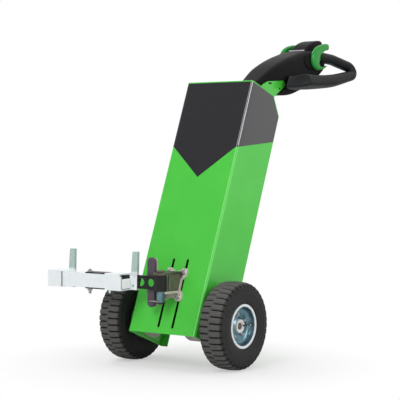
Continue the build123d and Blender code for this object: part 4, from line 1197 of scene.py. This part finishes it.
# %% Bracket bolts, cover screws and painted slot shade
ear_bolts, ear_nuts, screws = Shape(), Shape(), Shape()
for x in (-15, 36.5):
    for height in (113, 190):
        ear_bolts.hex_bolt(on_body(x, height, -6), -BACK, 8.5)
        ear_nuts.hex_bolt(on_body(x, height, 3), BACK, 8.5)
trim("bracket_bolts", ear_bolts, "hitch_bracket", smooth=30, finish=turned)
trim("bracket_nuts", ear_nuts, "hitch_bracket", smooth=30, finish=turned)
for x in (-106, 106):
    for height in (200, 440, 700):
        head = [(0, 5.2), (1.0, 5.2), (2.2, 4.2), (2.6, 2.6), (2.0, 1.4)]
        screws.turn(head, on_body(x, height, BODY_D), BACK, 20)
trim("back_cover_screws", screws, "back_cover", smooth=30, finish=turned)
# Painted shade: a dark sheet behind the front panel's slots.
slot_shade_sheet = [(-30, 12), (52, 12), (52, 342), (-30, 342)]
slot_shade_sheet = Shape().skin([[on_body(a, b, depth) for a, b in slot_shade_sheet] for depth in (16.5, 15.5)])
trim("slot_dust_shield", slot_shade_sheet, "front_panel", smooth=30, finish=black)
print("screw faces:", len(screws.faces))

# %% [markdown]
# ## Floor
# The background is plain white down to the floor, with a soft grey shadow where the wheels
# stand. A floor lit to white would bleach the machine, so a pale sheet is mixed with a white
# glow that only the camera sees, and that takes over further out.

# %% Floor
bpy.ops.mesh.primitive_grid_add(x_subdivisions=8, y_subdivisions=8, size=24)
floor = bpy.context.object
floor.name = "studio_floor"
sheet = Finish("pale_floor", (0.82, 0.82, 0.82), 0.9)
seen = sheet.node("ShaderNodeLightPath", out="Is Camera Ray")
glow = sheet.node("ShaderNodeEmission", None, {"Color": (1, 1, 1, 1), "Strength": 1.0})
far = sheet.node("ShaderNodeVectorMath", {"operation": "LENGTH"}, {0: sheet.place()}, "Value")
share = seen * (0.48 + far.step(0.2, 0.6) * 0.52)
mix = sheet.node("ShaderNodeMixShader", None, {0: share, 1: Wire(sheet, sheet.shader.outputs[0]), 2: glow})
sheet.put(sheet.tree.nodes["Material Output"].inputs["Surface"], mix)
floor.data.materials.append(sheet.material)
print("floor nodes:", len(sheet.tree.nodes))

# %% [markdown]
# ## World
# The world is white for what the camera and the metal see. High up in front of the machine
# it is dim, as a studio is, or the front panel would mirror a white wall. Its light on the machine is
# weaker, because the lamps give the rest.

# %% World
world = bpy.data.worlds.new("studio")
bpy.context.scene.world = world
world.use_nodes = True


class Sky(Finish):
    """The same helpers, on the world's nodes."""

    def __init__(self, tree):
        self.tree = tree


sky = Sky(world.node_tree)
soft = sky.tree.nodes["Background"]
soft.inputs["Color"].default_value = (1, 1, 1, 1)
soft.inputs["Strength"].default_value = 0.46
direction = sky.node("ShaderNodeTexCoord", out="Generated")
towards_y = sky.node("ShaderNodeSeparateXYZ", None, {0: direction}, 1)
upward = sky.node("ShaderNodeSeparateXYZ", None, {0: direction}, 2)
dim = (0.0 - towards_y).step(-0.1, 0.5) * upward.step(0.15, 0.45)
camera_ray, mirror_ray, clear_ray = (
    sky.node("ShaderNodeLightPath", out=f"Is {kind} Ray") for kind in ("Camera", "Glossy", "Transmission")
)
level = camera_ray + (1.0 - camera_ray) * (1.0 - dim * 0.85)
white = sky.node("ShaderNodeBackground", None, {"Color": (1, 1, 1, 1), "Strength": level})
any_ray = (camera_ray + mirror_ray + clear_ray).clamp()
mix = sky.node("ShaderNodeMixShader", None, {0: any_ray, 1: Wire(sky, soft.outputs[0]), 2: white})
sky.put(sky.tree.nodes["World Output"].inputs["Surface"], mix)
print("world nodes:", len(sky.tree.nodes))

# %% [markdown]
# ## Lamps
# Three large square lamps stand for the studio's soft boxes: a key in front, a fill on the
# right and one above on the left. Large lamps give soft shadows, and their mirror images are
# turned down, because the real ones lie outside what the paint reflects here.

# %% Lamps
LAMPS = (
    # name, place, aim, size, watts
    ("key", (0.3, -3.0, 2.9), (0, 0, 0.4), 1.8, 66),
    ("side", (3.1, -0.1, 1.8), (0, 0, 0.5), 1.8, 36),
    ("top", (-1.8, 0.4, 3.2), (0, 0, 0.4), 2.0, 26),
)
for name, place, aim, size, watts in LAMPS:
    lamp_data = bpy.data.lights.new(name, "AREA")
    lamp_data.shape = "SQUARE"
    lamp_data.size = size
    lamp_data.energy = watts
    lamp_data.specular_factor = 0.22
    lamp = show(name, lamp_data)
    lamp.location = place
    lamp.rotation_euler = (Vector(aim) - Vector(place)).to_track_quat("-Z", "Y").to_euler()
print("lamps:", len(LAMPS))

# %% [markdown]
# ## Colours
# The standard view shows each colour as it was written.

# %% Colour handling
bpy.context.scene.view_settings.view_transform = "Standard"
